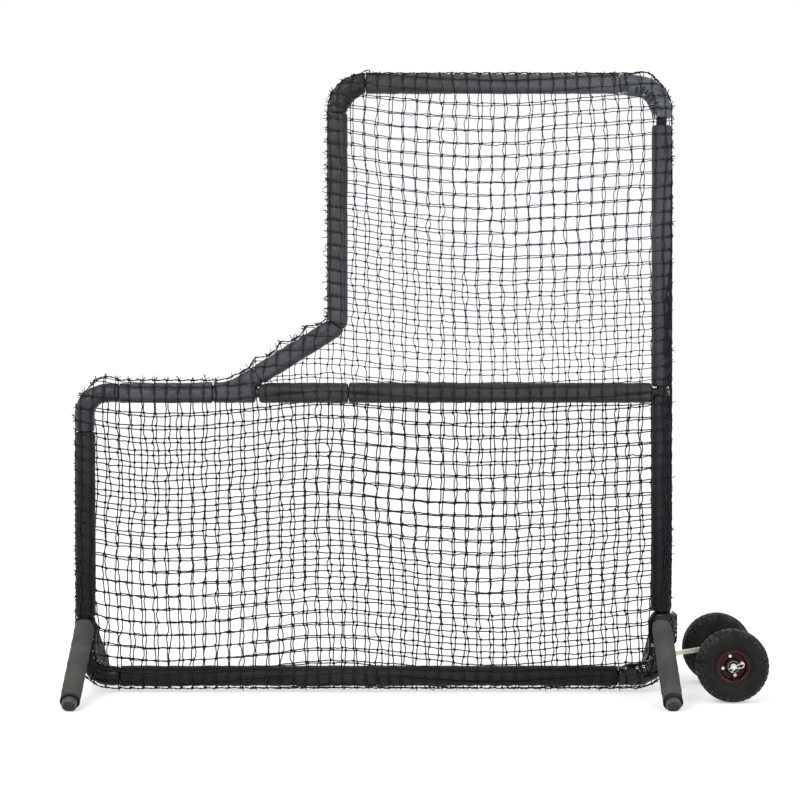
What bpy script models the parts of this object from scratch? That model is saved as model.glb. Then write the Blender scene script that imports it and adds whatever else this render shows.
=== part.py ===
# Baseball L screen: padded tube frame, double net, sloped feet and a two-wheel carriage.
# Lengths are in metres. X runs along the width, Y through the depth and Z up.

import math

import bmesh
import bpy
from mathutils import Matrix, Vector
from mathutils.geometry import delaunay_2d_cdt, tessellate_polygon

# Frame, measured between tube centre lines
FRAME_WIDTH = 2.068
TOP_HEIGHT = 2.183
SHOULDER_HEIGHT = 1.076
BOTTOM_HEIGHT = 0.057
UPPER_SHARE = 0.5619  # upper panel's width, as a share of the whole frame's
THROAT_RUN = 0.386
THROAT_ANGLE = math.radians(32)
CORNER_RADIUS = 0.095
SHOULDER_RADIUS = 0.080
THROAT_RADIUS = 0.200

# Tube
TUBE_DIAMETER = 0.0349
TUBE_WALL = 0.0016
CORNER_LEG = 0.070  # straight tube past each bend
SWAGE_LENGTH = 0.050
SWAGE_TAPER = 0.006
CROSSBAR_START = 0.044  # crossbar tube's end past the throat corner, under the throat bend
PLUG_LENGTH = 0.024  # closed end of the crossbar at the right post
PLUG_TAPER = 0.005

# Clearances
FIT = 0.0004  # between pieces that touch
OVERRUN = 0.010  # cutters past the faces that they cut

# Pads
PAD_DIAMETER = 0.070
PAD_SEAM = 0.0015
FLAP_REACH = 0.046  # laced inner edge of a corner pad, from the tube's centre line
FLAP_THICKNESS = 0.006
UPPER_LEFT_RAIL_REACH = 0.100
UPPER_LEFT_POST_REACH = 0.104
UPPER_RIGHT_RAIL_REACH = 0.153
UPPER_RIGHT_POST_REACH = 0.122
BARE_TUBE = 0.027  # below the upper right corner pad
LOWER_RIGHT_RAIL_REACH = 0.155
LOWER_RIGHT_PAD_RISE = 0.041  # corner pad's top above the middle of the legs
LOWER_LEFT_RAIL_REACH = 0.125
LOWER_LEFT_PAD_RISE = 0.019
SHOULDER_POST_REACH = 0.139
SHOULDER_RAIL_REACH = 0.123
THROAT_PAD_REACH = 0.061  # throat pad's end before the throat corner
JOINT_GAP_ABOVE = 0.0225  # right post pads stop this far above and below the crossbar
JOINT_GAP_BELOW = 0.010
CROSSBAR_PAD_START = 0.105  # past the throat corner
CROSSBAR_PAD_SEAM = 0.425  # past the throat corner
BULGE_OFFSET = 0.017  # lower right corner pad swells over the carriage plate
BULGE_BOTTOM = 0.158

# Feet
LEG_REACH = 0.355
LEG_ANGLE = math.radians(33)
LEG_BORE_START = 0.042
LEG_SLEEVE_DIAMETER = 0.070
SLEEVE_COPE = 0.0013  # foam sleeve clear of the corner pad
CAP_DIAMETER = 0.053
CAP_LENGTH = 0.024
CAP_END = 0.004
SOLE_DEPTH = 0.0025
SOCKET_DIAMETER = 0.0424
SOCKET_HEIGHT = 0.100

# Bolts
BOLT_DIAMETER = 0.008
HEX_DIAMETER = 0.015
HEX_HEIGHT = 0.0053

# Wheel carriage
WHEEL_REACH = 0.228  # axle past the right post
WHEEL_DIAMETER = 0.2572
TRACK = 0.360
PLATE_THICKNESS = 0.006
PLATE_WIDTH = 0.032
PLATE_BOTTOM = 0.118
BOSS_DEPTH = 0.009
PLATE_BOLT_SPACING = 0.050
ARM_HEIGHT = 0.015
ARM_THICKNESS = 0.012
ARM_START_HEIGHT = 0.1365
ARM_SLOPE = math.radians(9)
LUG_RADIUS = 0.020
AXLE_DIAMETER = 0.0159
AXLE_STUB = 0.010  # axle past the hub
SPACER_WALL = 0.004
PIN_DIAMETER = 0.0032
PIN_LEG = 0.019
PIN_EYE_RADIUS = 0.006

# Wheels
TYRE_WIDTH = 0.087
RIM_SEAT_RADIUS = 0.0508
RIM_FLANGE_RADIUS = 0.062
RIM_WIDTH = 0.064
RIM_WALL = 0.0028
HUB_DIAMETER = 0.042
HUB_LENGTH = 0.064
HUB_CUP_DEPTH = 0.014
VALVE_DIAMETER = 0.008
VALVE_RADIUS = 0.042
VALVE_LENGTH = 0.030
TYRE_OUTER_SHARES = ((0.0, 0.64), (0.14, 0.66), (0.45, 0.97), (0.80, 0.97), (1.0, 0.55))
TYRE_INNER_SHARES = ((0.0, 0.42), (0.40, 0.72), (0.84, 0.62))
TUBE_SHARES = ((0.01, 0.38), (0.39, 0.67), (0.78, 0.56))

# Net
NET_PITCH = 0.200
NET_STRAND = 0.003
SMALLEST_CELL = 0.012
EDGE_STRAND = 0.0026
NET_LAP = 0.0010  # edge strands stand this far proud of the flat layers
NET_HOLD = 0.002  # depth of an edge strand's end inside the border
NET_LEG_CLEARANCE = 0.060  # edge strands start this far above the legs

# Facets
TUBE_SIDES = 8
PAD_SIDES = 12
BEND_STEPS = 4
THROAT_STEPS = 3
WHEEL_STEPS = 20
HEX_SIDES = 6
SHARP_ANGLE = math.radians(40)

# Derived places
ACROSS = Vector((1, 0, 0))
DEPTH = Vector((0, 1, 0))
UP = Vector((0, 0, 1))
TUBE_RADIUS = TUBE_DIAMETER / 2
PAD_RADIUS = PAD_DIAMETER / 2
BORE_RADIUS = TUBE_RADIUS + FIT
NET_INNER = PAD_RADIUS + FIT
REACH_LEFT = FRAME_WIDTH / 2 + NET_INNER + NET_LAP + EDGE_STRAND
REACH_RIGHT = FRAME_WIDTH / 2 + WHEEL_REACH + WHEEL_DIAMETER / 2
MIDDLE = (REACH_LEFT - REACH_RIGHT) / 2
LEFT = MIDDLE - FRAME_WIDTH / 2
RIGHT = MIDDLE + FRAME_WIDTH / 2
UPPER_LEFT = RIGHT - FRAME_WIDTH * UPPER_SHARE
THROAT = UPPER_LEFT - THROAT_RUN
THROAT_TOP = SHOULDER_HEIGHT + THROAT_RUN * math.tan(THROAT_ANGLE)
LEG_LENGTH = LEG_REACH / math.cos(LEG_ANGLE)
SOLE_DROP = CAP_DIAMETER / 2 * math.cos(LEG_ANGLE) - SOLE_DEPTH
SOCKET_CENTRE = LEG_REACH * math.tan(LEG_ANGLE) + SOLE_DROP
LOWER_LEFT_POST_REACH = SOCKET_CENTRE + LOWER_LEFT_PAD_RISE - BOTTOM_HEIGHT
LOWER_RIGHT_POST_REACH = SOCKET_CENTRE + LOWER_RIGHT_PAD_RISE - BOTTOM_HEIGHT
AXLE_PLACE = Vector((RIGHT + WHEEL_REACH, 0, WHEEL_DIAMETER / 2))


def clear_scene():
    for item in list(bpy.data.objects):
        bpy.data.objects.remove(item, do_unlink=True)


def finish(name, colour, roughness, metallic=0.0):
    material = bpy.data.materials.new(name)
    material.use_nodes = True
    shader = material.node_tree.nodes["Principled BSDF"]
    shader.inputs["Base Color"].default_value = (*colour, 1)
    shader.inputs["Roughness"].default_value = roughness
    shader.inputs["Metallic"].default_value = metallic
    material.diffuse_color = (*colour, 1)
    return material


def place(x, z):
    return Vector((x, 0, z))


def make_object(name, bm, material):
    bmesh.ops.recalc_face_normals(bm, faces=bm.faces)
    mesh = bpy.data.meshes.new(name)
    bm.to_mesh(mesh)
    bm.free()
    mesh.shade_smooth()
    mesh.set_sharp_from_angle(angle=SHARP_ANGLE)
    if material:
        mesh.materials.append(material)
    item = bpy.data.objects.new(name, mesh)
    bpy.context.scene.collection.objects.link(item)
    return item


def combine(target, tool, operation):
    change = target.modifiers.new(tool.name, "BOOLEAN")
    change.object = tool
    change.operation = operation
    change.solver = "EXACT"
    tool.hide_render = True
    tool.display_type = "WIRE"


def cut(target, *tools):
    for tool in tools:
        combine(target, tool, "DIFFERENCE")


def join(target, *tools):
    for tool in tools:
        combine(target, tool, "UNION")


# Sections are lists of (sideways, upward) points round a tube's centre line

def circle(radius, sides):
    turn = 2 * math.pi / sides
    return [(radius * math.cos(turn * k), radius * math.sin(turn * k)) for k in range(sides)]


def tube_section(radius):
    return circle(radius, TUBE_SIDES)


def pad_section(radius):
    return circle(radius, PAD_SIDES)


def flap_section(spare=0):
    points = pad_section(PAD_RADIUS + spare)
    tip = PAD_SIDES // 4
    half = FLAP_THICKNESS / 2 + spare
    points[tip : tip + 1] = [(half, FLAP_REACH + spare), (-half, FLAP_REACH + spare)]
    return points


def ring_points(station, section, side):
    point, along, plane = station
    rise = along.cross(side)
    ring = []
    for sideways, upward in section:
        corner = point + side * sideways + rise * upward
        if plane:
            corner = corner + along * ((point - corner).dot(plane) / along.dot(plane))
        ring.append(corner)
    return ring


def add_skin(bm, rings):
    rows = [[bm.verts.new(point) for point in ring] for ring in rings]
    for first, second in zip(rows, rows[1:]):
        for k in range(len(first)):
            after = (k + 1) % len(first)
            bm.faces.new((first[k], second[k], second[after], first[after]))
    return rows


def add_sweep(bm, route, outer, inner=None, side=DEPTH):
    outer_rows = add_skin(bm, [ring_points(s, section, side) for s, section in zip(route, outer)])
    if inner is None:
        bm.faces.new(outer_rows[0])
        bm.faces.new(outer_rows[-1])
        return
    inner_rows = add_skin(bm, [ring_points(s, section, side) for s, section in zip(route, inner)])
    for end in (0, -1):
        verts = outer_rows[end] + inner_rows[end]
        loops = [[v.co for v in outer_rows[end]], [v.co for v in inner_rows[end]]]
        for triangle in tessellate_polygon(loops):
            bm.faces.new([verts[k] for k in triangle])


def sweep(name, material, route, outer, inner=None, side=DEPTH):
    bm = bmesh.new()
    add_sweep(bm, route, outer, inner, side)
    return make_object(name, bm, material)


def even(section, route):
    return [section] * len(route)


# Routes are lists of (point, direction, mitre plane)

def straight(start, end):
    along = (end - start).normalized()
    return [(start, along, None), (end, along, None)]


def bend(start, corner, end, radius, steps=BEND_STEPS):
    before = (corner - start).normalized()
    after = (end - corner).normalized()
    angle = before.angle(after)
    axis = before.cross(after).normalized()
    entry = corner - before * radius * math.tan(angle / 2)
    centre = entry + axis.cross(before) * radius
    route = [(start, before, None)]
    for step in range(steps + 1):
        turn = Matrix.Rotation(angle * step / steps, 3, axis)
        route.append((centre + turn @ (entry - centre), turn @ before, None))
    route.append((end, after, None))
    return route


def mitred(route, at_end, plane):
    k = len(route) - 1 if at_end else 0
    point, along, _ = route[k]
    route[k] = (point, along, plane)
    return route


def offset(route, at_end, distance):
    k = len(route) - 1 if at_end else 0
    point, along, plane = route[k]
    route[k] = (point + along * distance, along, plane)
    return route


def swage_end(route, outer, inner, at_end):
    k = -1 if at_end else 0
    way = 1 if at_end else -1
    point, along, _ = route[k]
    swage_radius = TUBE_RADIUS - TUBE_WALL - FIT
    full = (point - along * way * SWAGE_TAPER, along, None)
    tip = (point + along * way * SWAGE_LENGTH, along, None)
    radii = [TUBE_RADIUS, swage_radius, swage_radius]
    stations = [full, (point, along, None), tip]
    if not at_end:
        stations.reverse()
        radii.reverse()
    outer_new = [tube_section(r) for r in radii]
    inner_new = [tube_section(r - TUBE_WALL) for r in radii]
    if at_end:
        return route[:-1] + stations, outer[:-1] + outer_new, inner[:-1] + inner_new
    return stations + route[1:], outer_new + outer[1:], inner_new + inner[1:]


def frame_tube(name, route, swaged_start=False, swaged_end=False):
    outer = even(tube_section(TUBE_RADIUS), route)
    inner = even(tube_section(TUBE_RADIUS - TUBE_WALL), route)
    if swaged_start:
        route, outer, inner = swage_end(route, outer, inner, False)
    if swaged_end:
        route, outer, inner = swage_end(route, outer, inner, True)
    return sweep(name, BLACK_STEEL, route, outer, inner)


def tube_cutter(name, route, radius, section=tube_section, side=DEPTH):
    return sweep(name, None, route, even(section(radius), route), side=side)


def pad(name, route, material, flap=False):
    outer = flap_section() if flap else pad_section(PAD_RADIUS)
    return sweep(name, material, route, even(outer, route), even(tube_section(BORE_RADIUS), route))


def block(name, low, high, material):
    bm = bmesh.new()
    bmesh.ops.create_cube(bm, size=1)
    size = high - low
    for vert in bm.verts:
        vert.co = low + Vector((v + 1 / 2) * s for v, s in zip(vert.co, size))
    return make_object(name, bm, material)


def add_turned(bm, profile, centre, frame=None, steps=WHEEL_STEPS):
    frame = frame or (ACROSS, UP, DEPTH)
    rows = []
    for step in range(steps):
        angle = 2 * math.pi * step / steps
        spoke = frame[0] * math.sin(angle) - frame[1] * math.cos(angle)
        rows.append([bm.verts.new(centre + spoke * r + frame[2] * w) for r, w in profile])
    for k, row in enumerate(rows):
        after = rows[(k + 1) % steps]
        for j in range(len(profile)):
            nxt = (j + 1) % len(profile)
            bm.faces.new((row[j], after[j], after[nxt], row[nxt]))


def turned(name, profile, centre, material, steps=WHEEL_STEPS):
    bm = bmesh.new()
    add_turned(bm, profile, centre, steps=steps)
    return make_object(name, bm, material)


def mirrored(shares, base, height, half_width):
    near = [(base + height * h, half_width * w) for h, w in shares]
    return near + [(r, -w) for r, w in reversed(near)]


def bolt(name, seat, along, shank):
    sections = [circle(HEX_DIAMETER / 2, HEX_SIDES)] * 2 + [circle(BOLT_DIAMETER / 2, HEX_SIDES)] * 2
    places = (-HEX_HEIGHT, 0, 0, shank)
    route = [(seat + along * distance, along, None) for distance in places]
    sweep(name, ZINC, route, sections)


# Materials

BLACK_STEEL = finish("black_steel", (0.02, 0.02, 0.022), 0.4, 0.6)
ZINC = finish("zinc", (0.62, 0.62, 0.62), 0.35, 1.0)
PAD_VINYL = finish("pad_vinyl", (0.045, 0.048, 0.055), 0.55)
CORNER_VINYL = finish("corner_vinyl", (0.03, 0.031, 0.035), 0.35)
LEG_FOAM = finish("leg_foam", (0.07, 0.072, 0.075), 0.9)
CAP_RUBBER = finish("cap_rubber", (0.06, 0.06, 0.062), 0.6)
NET_TWINE = finish("net_twine", (0.012, 0.012, 0.025), 0.7)
TYRE_RUBBER = finish("tyre_rubber", (0.025, 0.025, 0.026), 0.75)
RIM_PAINT = finish("rim_paint", (0.10, 0.012, 0.015), 0.35)


# Frame corners and the throat's mitre

LOWER_LEFT_CORNER = place(LEFT, BOTTOM_HEIGHT)
LOWER_RIGHT_CORNER = place(RIGHT, BOTTOM_HEIGHT)
UPPER_RIGHT_CORNER = place(RIGHT, TOP_HEIGHT)
UPPER_LEFT_CORNER = place(UPPER_LEFT, TOP_HEIGHT)
THROAT_TOP_CORNER = place(UPPER_LEFT, THROAT_TOP)
THROAT_CORNER = place(THROAT, SHOULDER_HEIGHT)
SHOULDER_CORNER = place(LEFT, SHOULDER_HEIGHT)
SLOPE = place(math.cos(THROAT_ANGLE), math.sin(THROAT_ANGLE))
MITRE = (SLOPE + UP).normalized()
BEND_END = CORNER_RADIUS + CORNER_LEG
SHOULDER_END = SHOULDER_RADIUS + CORNER_LEG


def make_frame():
    collar_left = place(LEFT, SOCKET_CENTRE)
    collar_right = place(RIGHT, SOCKET_CENTRE)
    frame_tube(
        "lower_left_corner_tube",
        bend(collar_left - UP * FIT, LOWER_LEFT_CORNER, LOWER_LEFT_CORNER + ACROSS * BEND_END, CORNER_RADIUS),
    )
    frame_tube(
        "lower_right_corner_tube",
        bend(LOWER_RIGHT_CORNER - ACROSS * BEND_END, LOWER_RIGHT_CORNER, collar_right - UP * FIT, CORNER_RADIUS),
    )
    bottom = straight(
        LOWER_LEFT_CORNER + ACROSS * (BEND_END + FIT), LOWER_RIGHT_CORNER - ACROSS * (BEND_END + FIT)
    )
    frame_tube("bottom_rail_tube", bottom, True, True)
    frame_tube(
        "left_post_tube", straight(collar_left, SHOULDER_CORNER - UP * (SHOULDER_END + FIT)), False, True
    )
    right_post = frame_tube(
        "right_post_tube", straight(collar_right, UPPER_RIGHT_CORNER - UP * (BEND_END + FIT)), False, True
    )
    frame_tube(
        "shoulder_corner_tube",
        bend(
            SHOULDER_CORNER - UP * SHOULDER_END,
            SHOULDER_CORNER,
            SHOULDER_CORNER + ACROSS * SHOULDER_END,
            SHOULDER_RADIUS,
        ),
    )
    frame_tube("throat_tube", throat_route(SHOULDER_CORNER + ACROSS * (SHOULDER_END + FIT)), True)
    post = mitred(straight(THROAT_TOP_CORNER, UPPER_LEFT_CORNER - UP * (BEND_END + FIT)), False, MITRE)
    frame_tube("upper_left_post_tube", offset(post, False, FIT), False, True)
    frame_tube(
        "upper_left_corner_tube",
        bend(
            UPPER_LEFT_CORNER - UP * BEND_END,
            UPPER_LEFT_CORNER,
            UPPER_LEFT_CORNER + ACROSS * BEND_END,
            CORNER_RADIUS,
        ),
    )
    top = straight(
        UPPER_LEFT_CORNER + ACROSS * (BEND_END + FIT), UPPER_RIGHT_CORNER - ACROSS * (BEND_END + FIT)
    )
    frame_tube("top_rail_tube", top, True, True)
    frame_tube(
        "upper_right_corner_tube",
        bend(
            UPPER_RIGHT_CORNER - ACROSS * BEND_END,
            UPPER_RIGHT_CORNER,
            UPPER_RIGHT_CORNER - UP * BEND_END,
            CORNER_RADIUS,
        ),
    )
    make_crossbar(right_post)


def throat_route(start):
    route = bend(start, THROAT_CORNER, THROAT_TOP_CORNER, THROAT_RADIUS, THROAT_STEPS)
    return offset(mitred(route, True, MITRE), True, -FIT)


def make_crossbar(right_post):
    start = THROAT_CORNER + ACROSS * CROSSBAR_START
    end = place(RIGHT, SHOULDER_HEIGHT)
    plug = end - ACROSS * (TUBE_RADIUS + PLUG_LENGTH)
    route = [(point, ACROSS, None) for point in (start, plug - ACROSS * PLUG_TAPER, plug, end)]
    bolt_hole = BOLT_DIAMETER / 2 + FIT
    inner = [TUBE_RADIUS - TUBE_WALL, TUBE_RADIUS - TUBE_WALL, bolt_hole, bolt_hole]
    crossbar = sweep(
        "crossbar_tube",
        BLACK_STEEL,
        route,
        even(tube_section(TUBE_RADIUS), route),
        [tube_section(radius) for radius in inner],
    )
    throat_way = throat_route(THROAT_CORNER - ACROSS * SHOULDER_END)
    throat_cutter = tube_cutter("throat_cutter", throat_way, BORE_RADIUS)
    post_way = straight(end - UP * PAD_RADIUS, end + UP * PAD_RADIUS)
    post_cutter = tube_cutter("post_cutter", post_way, BORE_RADIUS)
    cut(crossbar, throat_cutter, post_cutter)
    hole_way = straight(end - ACROSS * (TUBE_RADIUS + OVERRUN), end + ACROSS * (TUBE_RADIUS + OVERRUN))
    cut(right_post, tube_cutter("post_hole_cutter", hole_way, bolt_hole))


# Leg directions and routes

def leg_route(post, way, start, end):
    along = Vector((0, way * math.cos(LEG_ANGLE), -math.sin(LEG_ANGLE)))
    root = place(post, SOCKET_CENTRE)
    return straight(root + along * start, root + along * end)


def make_feet():
    floor = block(
        "floor_cutter",
        Vector((LEFT - PAD_RADIUS, -LEG_LENGTH, -CAP_DIAMETER)),
        Vector((RIGHT + PAD_RADIUS, LEG_LENGTH, 0)),
        None,
    )
    for post, post_name in ((LEFT, "left"), (RIGHT, "right")):
        make_foot_frame(post, post_name)
        for way, way_name in ((-1, "front"), (1, "rear")):
            label = f"{way_name}_{post_name}"
            make_leg_sleeve(label, post, way)
            make_cap(label, post, way, floor)


def make_foot_frame(post, post_name):
    bottom = SOCKET_CENTRE - SOCKET_HEIGHT / 2
    top = SOCKET_CENTRE + SOCKET_HEIGHT / 2
    sleeve_way = straight(place(post, bottom), place(post, top))
    socket = even(pad_section(SOCKET_DIAMETER / 2), sleeve_way)
    foot = sweep(f"{post_name}_foot_frame", BLACK_STEEL, sleeve_way, socket)
    bores = []
    for way in (-1, 1):
        leg_way = leg_route(post, way, 0, LEG_LENGTH - CAP_END - FIT)
        bore_way = leg_route(post, way, LEG_BORE_START, LEG_LENGTH + OVERRUN)
        join(foot, tube_cutter(f"{post_name}_leg_{way + 1}", leg_way, TUBE_RADIUS, side=ACROSS))
        bore_radius = TUBE_RADIUS - TUBE_WALL
        bores.append(tube_cutter(f"{post_name}_leg_bore_{way + 1}", bore_way, bore_radius, side=ACROSS))
    if post == RIGHT:
        boss = block(
            "plate_boss",
            Vector((RIGHT, -PLATE_WIDTH / 2, bottom)),
            Vector((RIGHT + SOCKET_DIAMETER / 2 + BOSS_DEPTH, PLATE_WIDTH / 2, top)),
            None,
        )
        join(foot, boss)
        cut(foot, *[plate_bolt_cutter(height) for height in plate_bolt_heights()])
    socket_way = straight(place(post, bottom - OVERRUN), place(post, top + OVERRUN))
    cut(foot, *bores, tube_cutter(f"{post_name}_socket_bore", socket_way, BORE_RADIUS))


def make_leg_sleeve(label, post, way):
    route = leg_route(post, way, 0, LEG_LENGTH - CAP_LENGTH - FIT)
    sleeve = sweep(
        f"{label}_leg_sleeve",
        LEG_FOAM,
        route,
        even(pad_section(LEG_SLEEVE_DIAMETER / 2), route),
        even(tube_section(BORE_RADIUS), route),
        ACROSS,
    )
    low = SOCKET_CENTRE - SOCKET_HEIGHT - OVERRUN
    high = SOCKET_CENTRE + SOCKET_HEIGHT
    ends = [place(post, low), place(post, high)]
    if post == LEFT:
        ends.reverse()
    cut(sleeve, tube_cutter(f"{label}_cope_cutter", straight(*ends), SLEEVE_COPE, flap_section))
    if post == RIGHT:
        bulge = straight(place(post + BULGE_OFFSET, low), place(post + BULGE_OFFSET, high))
        cut(sleeve, tube_cutter(f"{label}_bulge_cope_cutter", bulge, PAD_RADIUS + SLEEVE_COPE, pad_section))


def make_cap(label, post, way, floor):
    route = leg_route(post, way, LEG_LENGTH - CAP_LENGTH, LEG_LENGTH)
    cap = sweep(f"{label}_leg_cap", CAP_RUBBER, route, even(pad_section(CAP_DIAMETER / 2), route), side=ACROSS)
    bore_way = leg_route(post, way, LEG_LENGTH - CAP_LENGTH - OVERRUN, LEG_LENGTH - CAP_END)
    cut(cap, tube_cutter(f"{label}_cap_cutter", bore_way, BORE_RADIUS, side=ACROSS), floor)


# Wheel carriage

PLATE_INNER = RIGHT + SOCKET_DIAMETER / 2 + BOSS_DEPTH + FIT
PLATE_OUTER = PLATE_INNER + PLATE_THICKNESS


def plate_bolt_heights():
    return [SOCKET_CENTRE - PLATE_BOLT_SPACING / 2, SOCKET_CENTRE + PLATE_BOLT_SPACING / 2]


def plate_bolt_cutter(height):
    hole = straight(place(PLATE_INNER - BOSS_DEPTH, height), place(PLATE_OUTER + OVERRUN, height))
    return tube_cutter(f"plate_hole_{round(height * 1000)}", hole, BOLT_DIAMETER / 2 + FIT)


def make_carriage():
    top = SOCKET_CENTRE + SOCKET_HEIGHT / 2
    plate = block(
        "wheel_mount_plate",
        Vector((PLATE_INNER, -PLATE_WIDTH / 2, PLATE_BOTTOM)),
        Vector((PLATE_OUTER, PLATE_WIDTH / 2, top)),
        ZINC,
    )
    cut(plate, *[plate_bolt_cutter(height) for height in plate_bolt_heights()])
    make_arm()
    make_axle()


def make_arm():
    start = place(PLATE_OUTER + FIT, ARM_START_HEIGHT)
    along = place(math.cos(ARM_SLOPE), math.sin(ARM_SLOPE))
    square = place(-math.sin(ARM_SLOPE), math.cos(ARM_SLOPE)) * ARM_HEIGHT / 2
    length = (AXLE_PLACE.x - start.x) / along.x
    lug_left = AXLE_PLACE - ACROSS * LUG_RADIUS
    lower_end = start - square + along * (length - LUG_RADIUS)
    upright = UP * ARM_HEIGHT / 2 / math.cos(ARM_SLOPE)
    outline = [start + upright, start - upright, lower_end, lug_left]
    for step in range(1, TUBE_SIDES):
        angle = math.pi + math.pi * step / TUBE_SIDES
        outline.append(AXLE_PLACE + place(math.cos(angle), math.sin(angle)) * LUG_RADIUS)
    upper_end = start + square + along * length
    outline += [AXLE_PLACE + ACROSS * LUG_RADIUS, place(AXLE_PLACE.x + LUG_RADIUS, lower_end.z), upper_end]
    bm = bmesh.new()
    half = DEPTH * ARM_THICKNESS / 2
    near = [bm.verts.new(point - half) for point in outline]
    far = [bm.verts.new(point + half) for point in outline]
    bm.faces.new(near)
    bm.faces.new(far)
    for k in range(len(outline)):
        after = (k + 1) % len(outline)
        bm.faces.new((near[k], near[after], far[after], far[k]))
    arm = make_object("wheel_arm", bm, ZINC)
    hole_half = DEPTH * (ARM_THICKNESS / 2 + OVERRUN)
    hole = straight(AXLE_PLACE - hole_half, AXLE_PLACE + hole_half)
    hole_cutter = sweep(
        "arm_hole_cutter", None, hole, even(pad_section(AXLE_DIAMETER / 2 + FIT), hole), side=ACROSS
    )
    cut(arm, hole_cutter)


def make_axle():
    hub_end = TRACK / 2 + HUB_LENGTH / 2
    pin_place = hub_end + FIT + PIN_DIAMETER / 2
    axle_way = straight(AXLE_PLACE - DEPTH * (hub_end + AXLE_STUB), AXLE_PLACE + DEPTH * (hub_end + AXLE_STUB))
    axle = sweep("axle", ZINC, axle_way, even(pad_section(AXLE_DIAMETER / 2), axle_way), side=ACROSS)
    bore = AXLE_DIAMETER / 2 + FIT
    edge = bore + SPACER_WALL
    near = ARM_THICKNESS / 2 + FIT
    far = TRACK / 2 - HUB_LENGTH / 2 - FIT
    for way, label in ((-1, "front"), (1, "rear")):
        profile = [(bore, way * near), (edge, way * near), (edge, way * far), (bore, way * far)]
        turned(f"{label}_axle_spacer", profile, AXLE_PLACE, ZINC, steps=PAD_SIDES)
        centre = AXLE_PLACE + DEPTH * way * pin_place
        make_cotter_pin(f"{label}_cotter_pin", centre, way)
        hole = cotter_direction(way) * (AXLE_DIAMETER / 2 + OVERRUN)
        hole_way = straight(centre - hole, centre + hole)
        hole_section = even(circle(PIN_DIAMETER / 2 + FIT, HEX_SIDES), hole_way)
        cut(axle, sweep(f"{label}_pin_hole_cutter", None, hole_way, hole_section))


def cotter_direction(way):
    return place(-way, 1).normalized()


def make_cotter_pin(name, centre, way):
    along = cotter_direction(way)
    square = along.cross(DEPTH)
    eye_centre = centre + along * PIN_LEG + square * PIN_EYE_RADIUS
    route = [(centre - along * PIN_LEG, along, None), (centre + along * PIN_LEG, along, None)]
    eye_steps = 2 * HEX_SIDES
    for step in range(1, eye_steps - 1):
        angle = 2 * math.pi * step / eye_steps
        point = eye_centre - square * PIN_EYE_RADIUS * math.cos(angle) + along * PIN_EYE_RADIUS * math.sin(angle)
        direction = square * math.sin(angle) + along * math.cos(angle)
        route.append((point, direction, None))
    sweep(name, ZINC, route, even(circle(PIN_DIAMETER / 2, HEX_SIDES), route))


# Wheels

def make_wheel(name, way):
    centre = AXLE_PLACE + DEPTH * way * TRACK / 2
    half_width = TYRE_WIDTH / 2
    seat = RIM_SEAT_RADIUS + FIT
    height = WHEEL_DIAMETER / 2 - seat
    outer = mirrored(TYRE_OUTER_SHARES, seat, height, half_width)
    inner = mirrored(TYRE_INNER_SHARES, seat, height, half_width)
    turned(f"{name}_tyre", outer + inner[::-1], centre, TYRE_RUBBER)
    tube = turned(f"{name}_inner_tube", mirrored(TUBE_SHARES, seat, height, half_width), centre, TYRE_RUBBER)
    valve_root = centre - UP * (RIM_SEAT_RADIUS + height / 4) + DEPTH * way * VALVE_DIAMETER
    valve_foot = centre - UP * VALVE_RADIUS + DEPTH * way * VALVE_DIAMETER
    valve_tip = valve_foot + DEPTH * way * VALVE_LENGTH
    join(tube, make_valve(f"{name}_valve", valve_root, valve_foot, valve_tip, VALVE_DIAMETER / 2))
    valve_gap = VALVE_DIAMETER / 2 + FIT
    outer_rim = turned(f"{name}_rim_outer_half", rim_profile(way), centre, RIM_PAINT)
    turned(f"{name}_rim_inner_half", rim_profile(-way), centre, RIM_PAINT)
    cut(outer_rim, make_valve(f"{name}_valve_cutter", valve_root, valve_foot, valve_tip, valve_gap))
    make_hub(name, centre)


def make_valve(name, root, foot, tip, radius):
    mitre = ((foot - root).normalized() + (tip - foot).normalized()).normalized()
    rising = (foot - root).normalized()
    outward = (tip - foot).normalized()
    route = [(root, rising, None), (foot, rising, mitre), (tip, outward, None)]
    bm = bmesh.new()
    add_sweep(bm, route, even(circle(radius, HEX_SIDES), route), side=ACROSS)
    return make_object(name, bm, None)


def rim_profile(way):
    half = RIM_WIDTH / 2
    hub = HUB_DIAMETER / 2 + FIT
    outline = [
        (RIM_FLANGE_RADIUS, half),
        (RIM_SEAT_RADIUS, TYRE_WIDTH / 2 * TYRE_OUTER_SHARES[0][1] + FIT),
        (RIM_SEAT_RADIUS, FIT / 2),
        (hub, FIT / 2),
        (hub, HUB_CUP_DEPTH),
        (hub + RIM_WALL, HUB_CUP_DEPTH),
        (hub + 2 * RIM_WALL, RIM_WALL),
        (RIM_SEAT_RADIUS - RIM_WALL, RIM_WALL),
        (RIM_SEAT_RADIUS - RIM_WALL, half),
    ]
    return [(r, way * w) for r, w in outline]


def make_hub(name, centre):
    bore = AXLE_DIAMETER / 2 + FIT
    half = HUB_LENGTH / 2
    profile = [(bore, half), (HUB_DIAMETER / 2, half), (HUB_DIAMETER / 2, -half), (bore, -half)]
    turned(f"{name}_hub_bearing", profile, centre, ZINC)


def make_bolts():
    joint = place(RIGHT + TUBE_RADIUS + FIT, SHOULDER_HEIGHT)
    bolt("crossbar_bolt", joint, -ACROSS, 2 * TUBE_RADIUS + PLUG_LENGTH)
    for label, height in zip(("lower", "upper"), plate_bolt_heights()):
        seat = place(PLATE_OUTER + FIT, height)
        bolt(f"{label}_wheel_mount_bolt", seat, -ACROSS, PLATE_THICKNESS + BOSS_DEPTH)


# Pads

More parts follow.
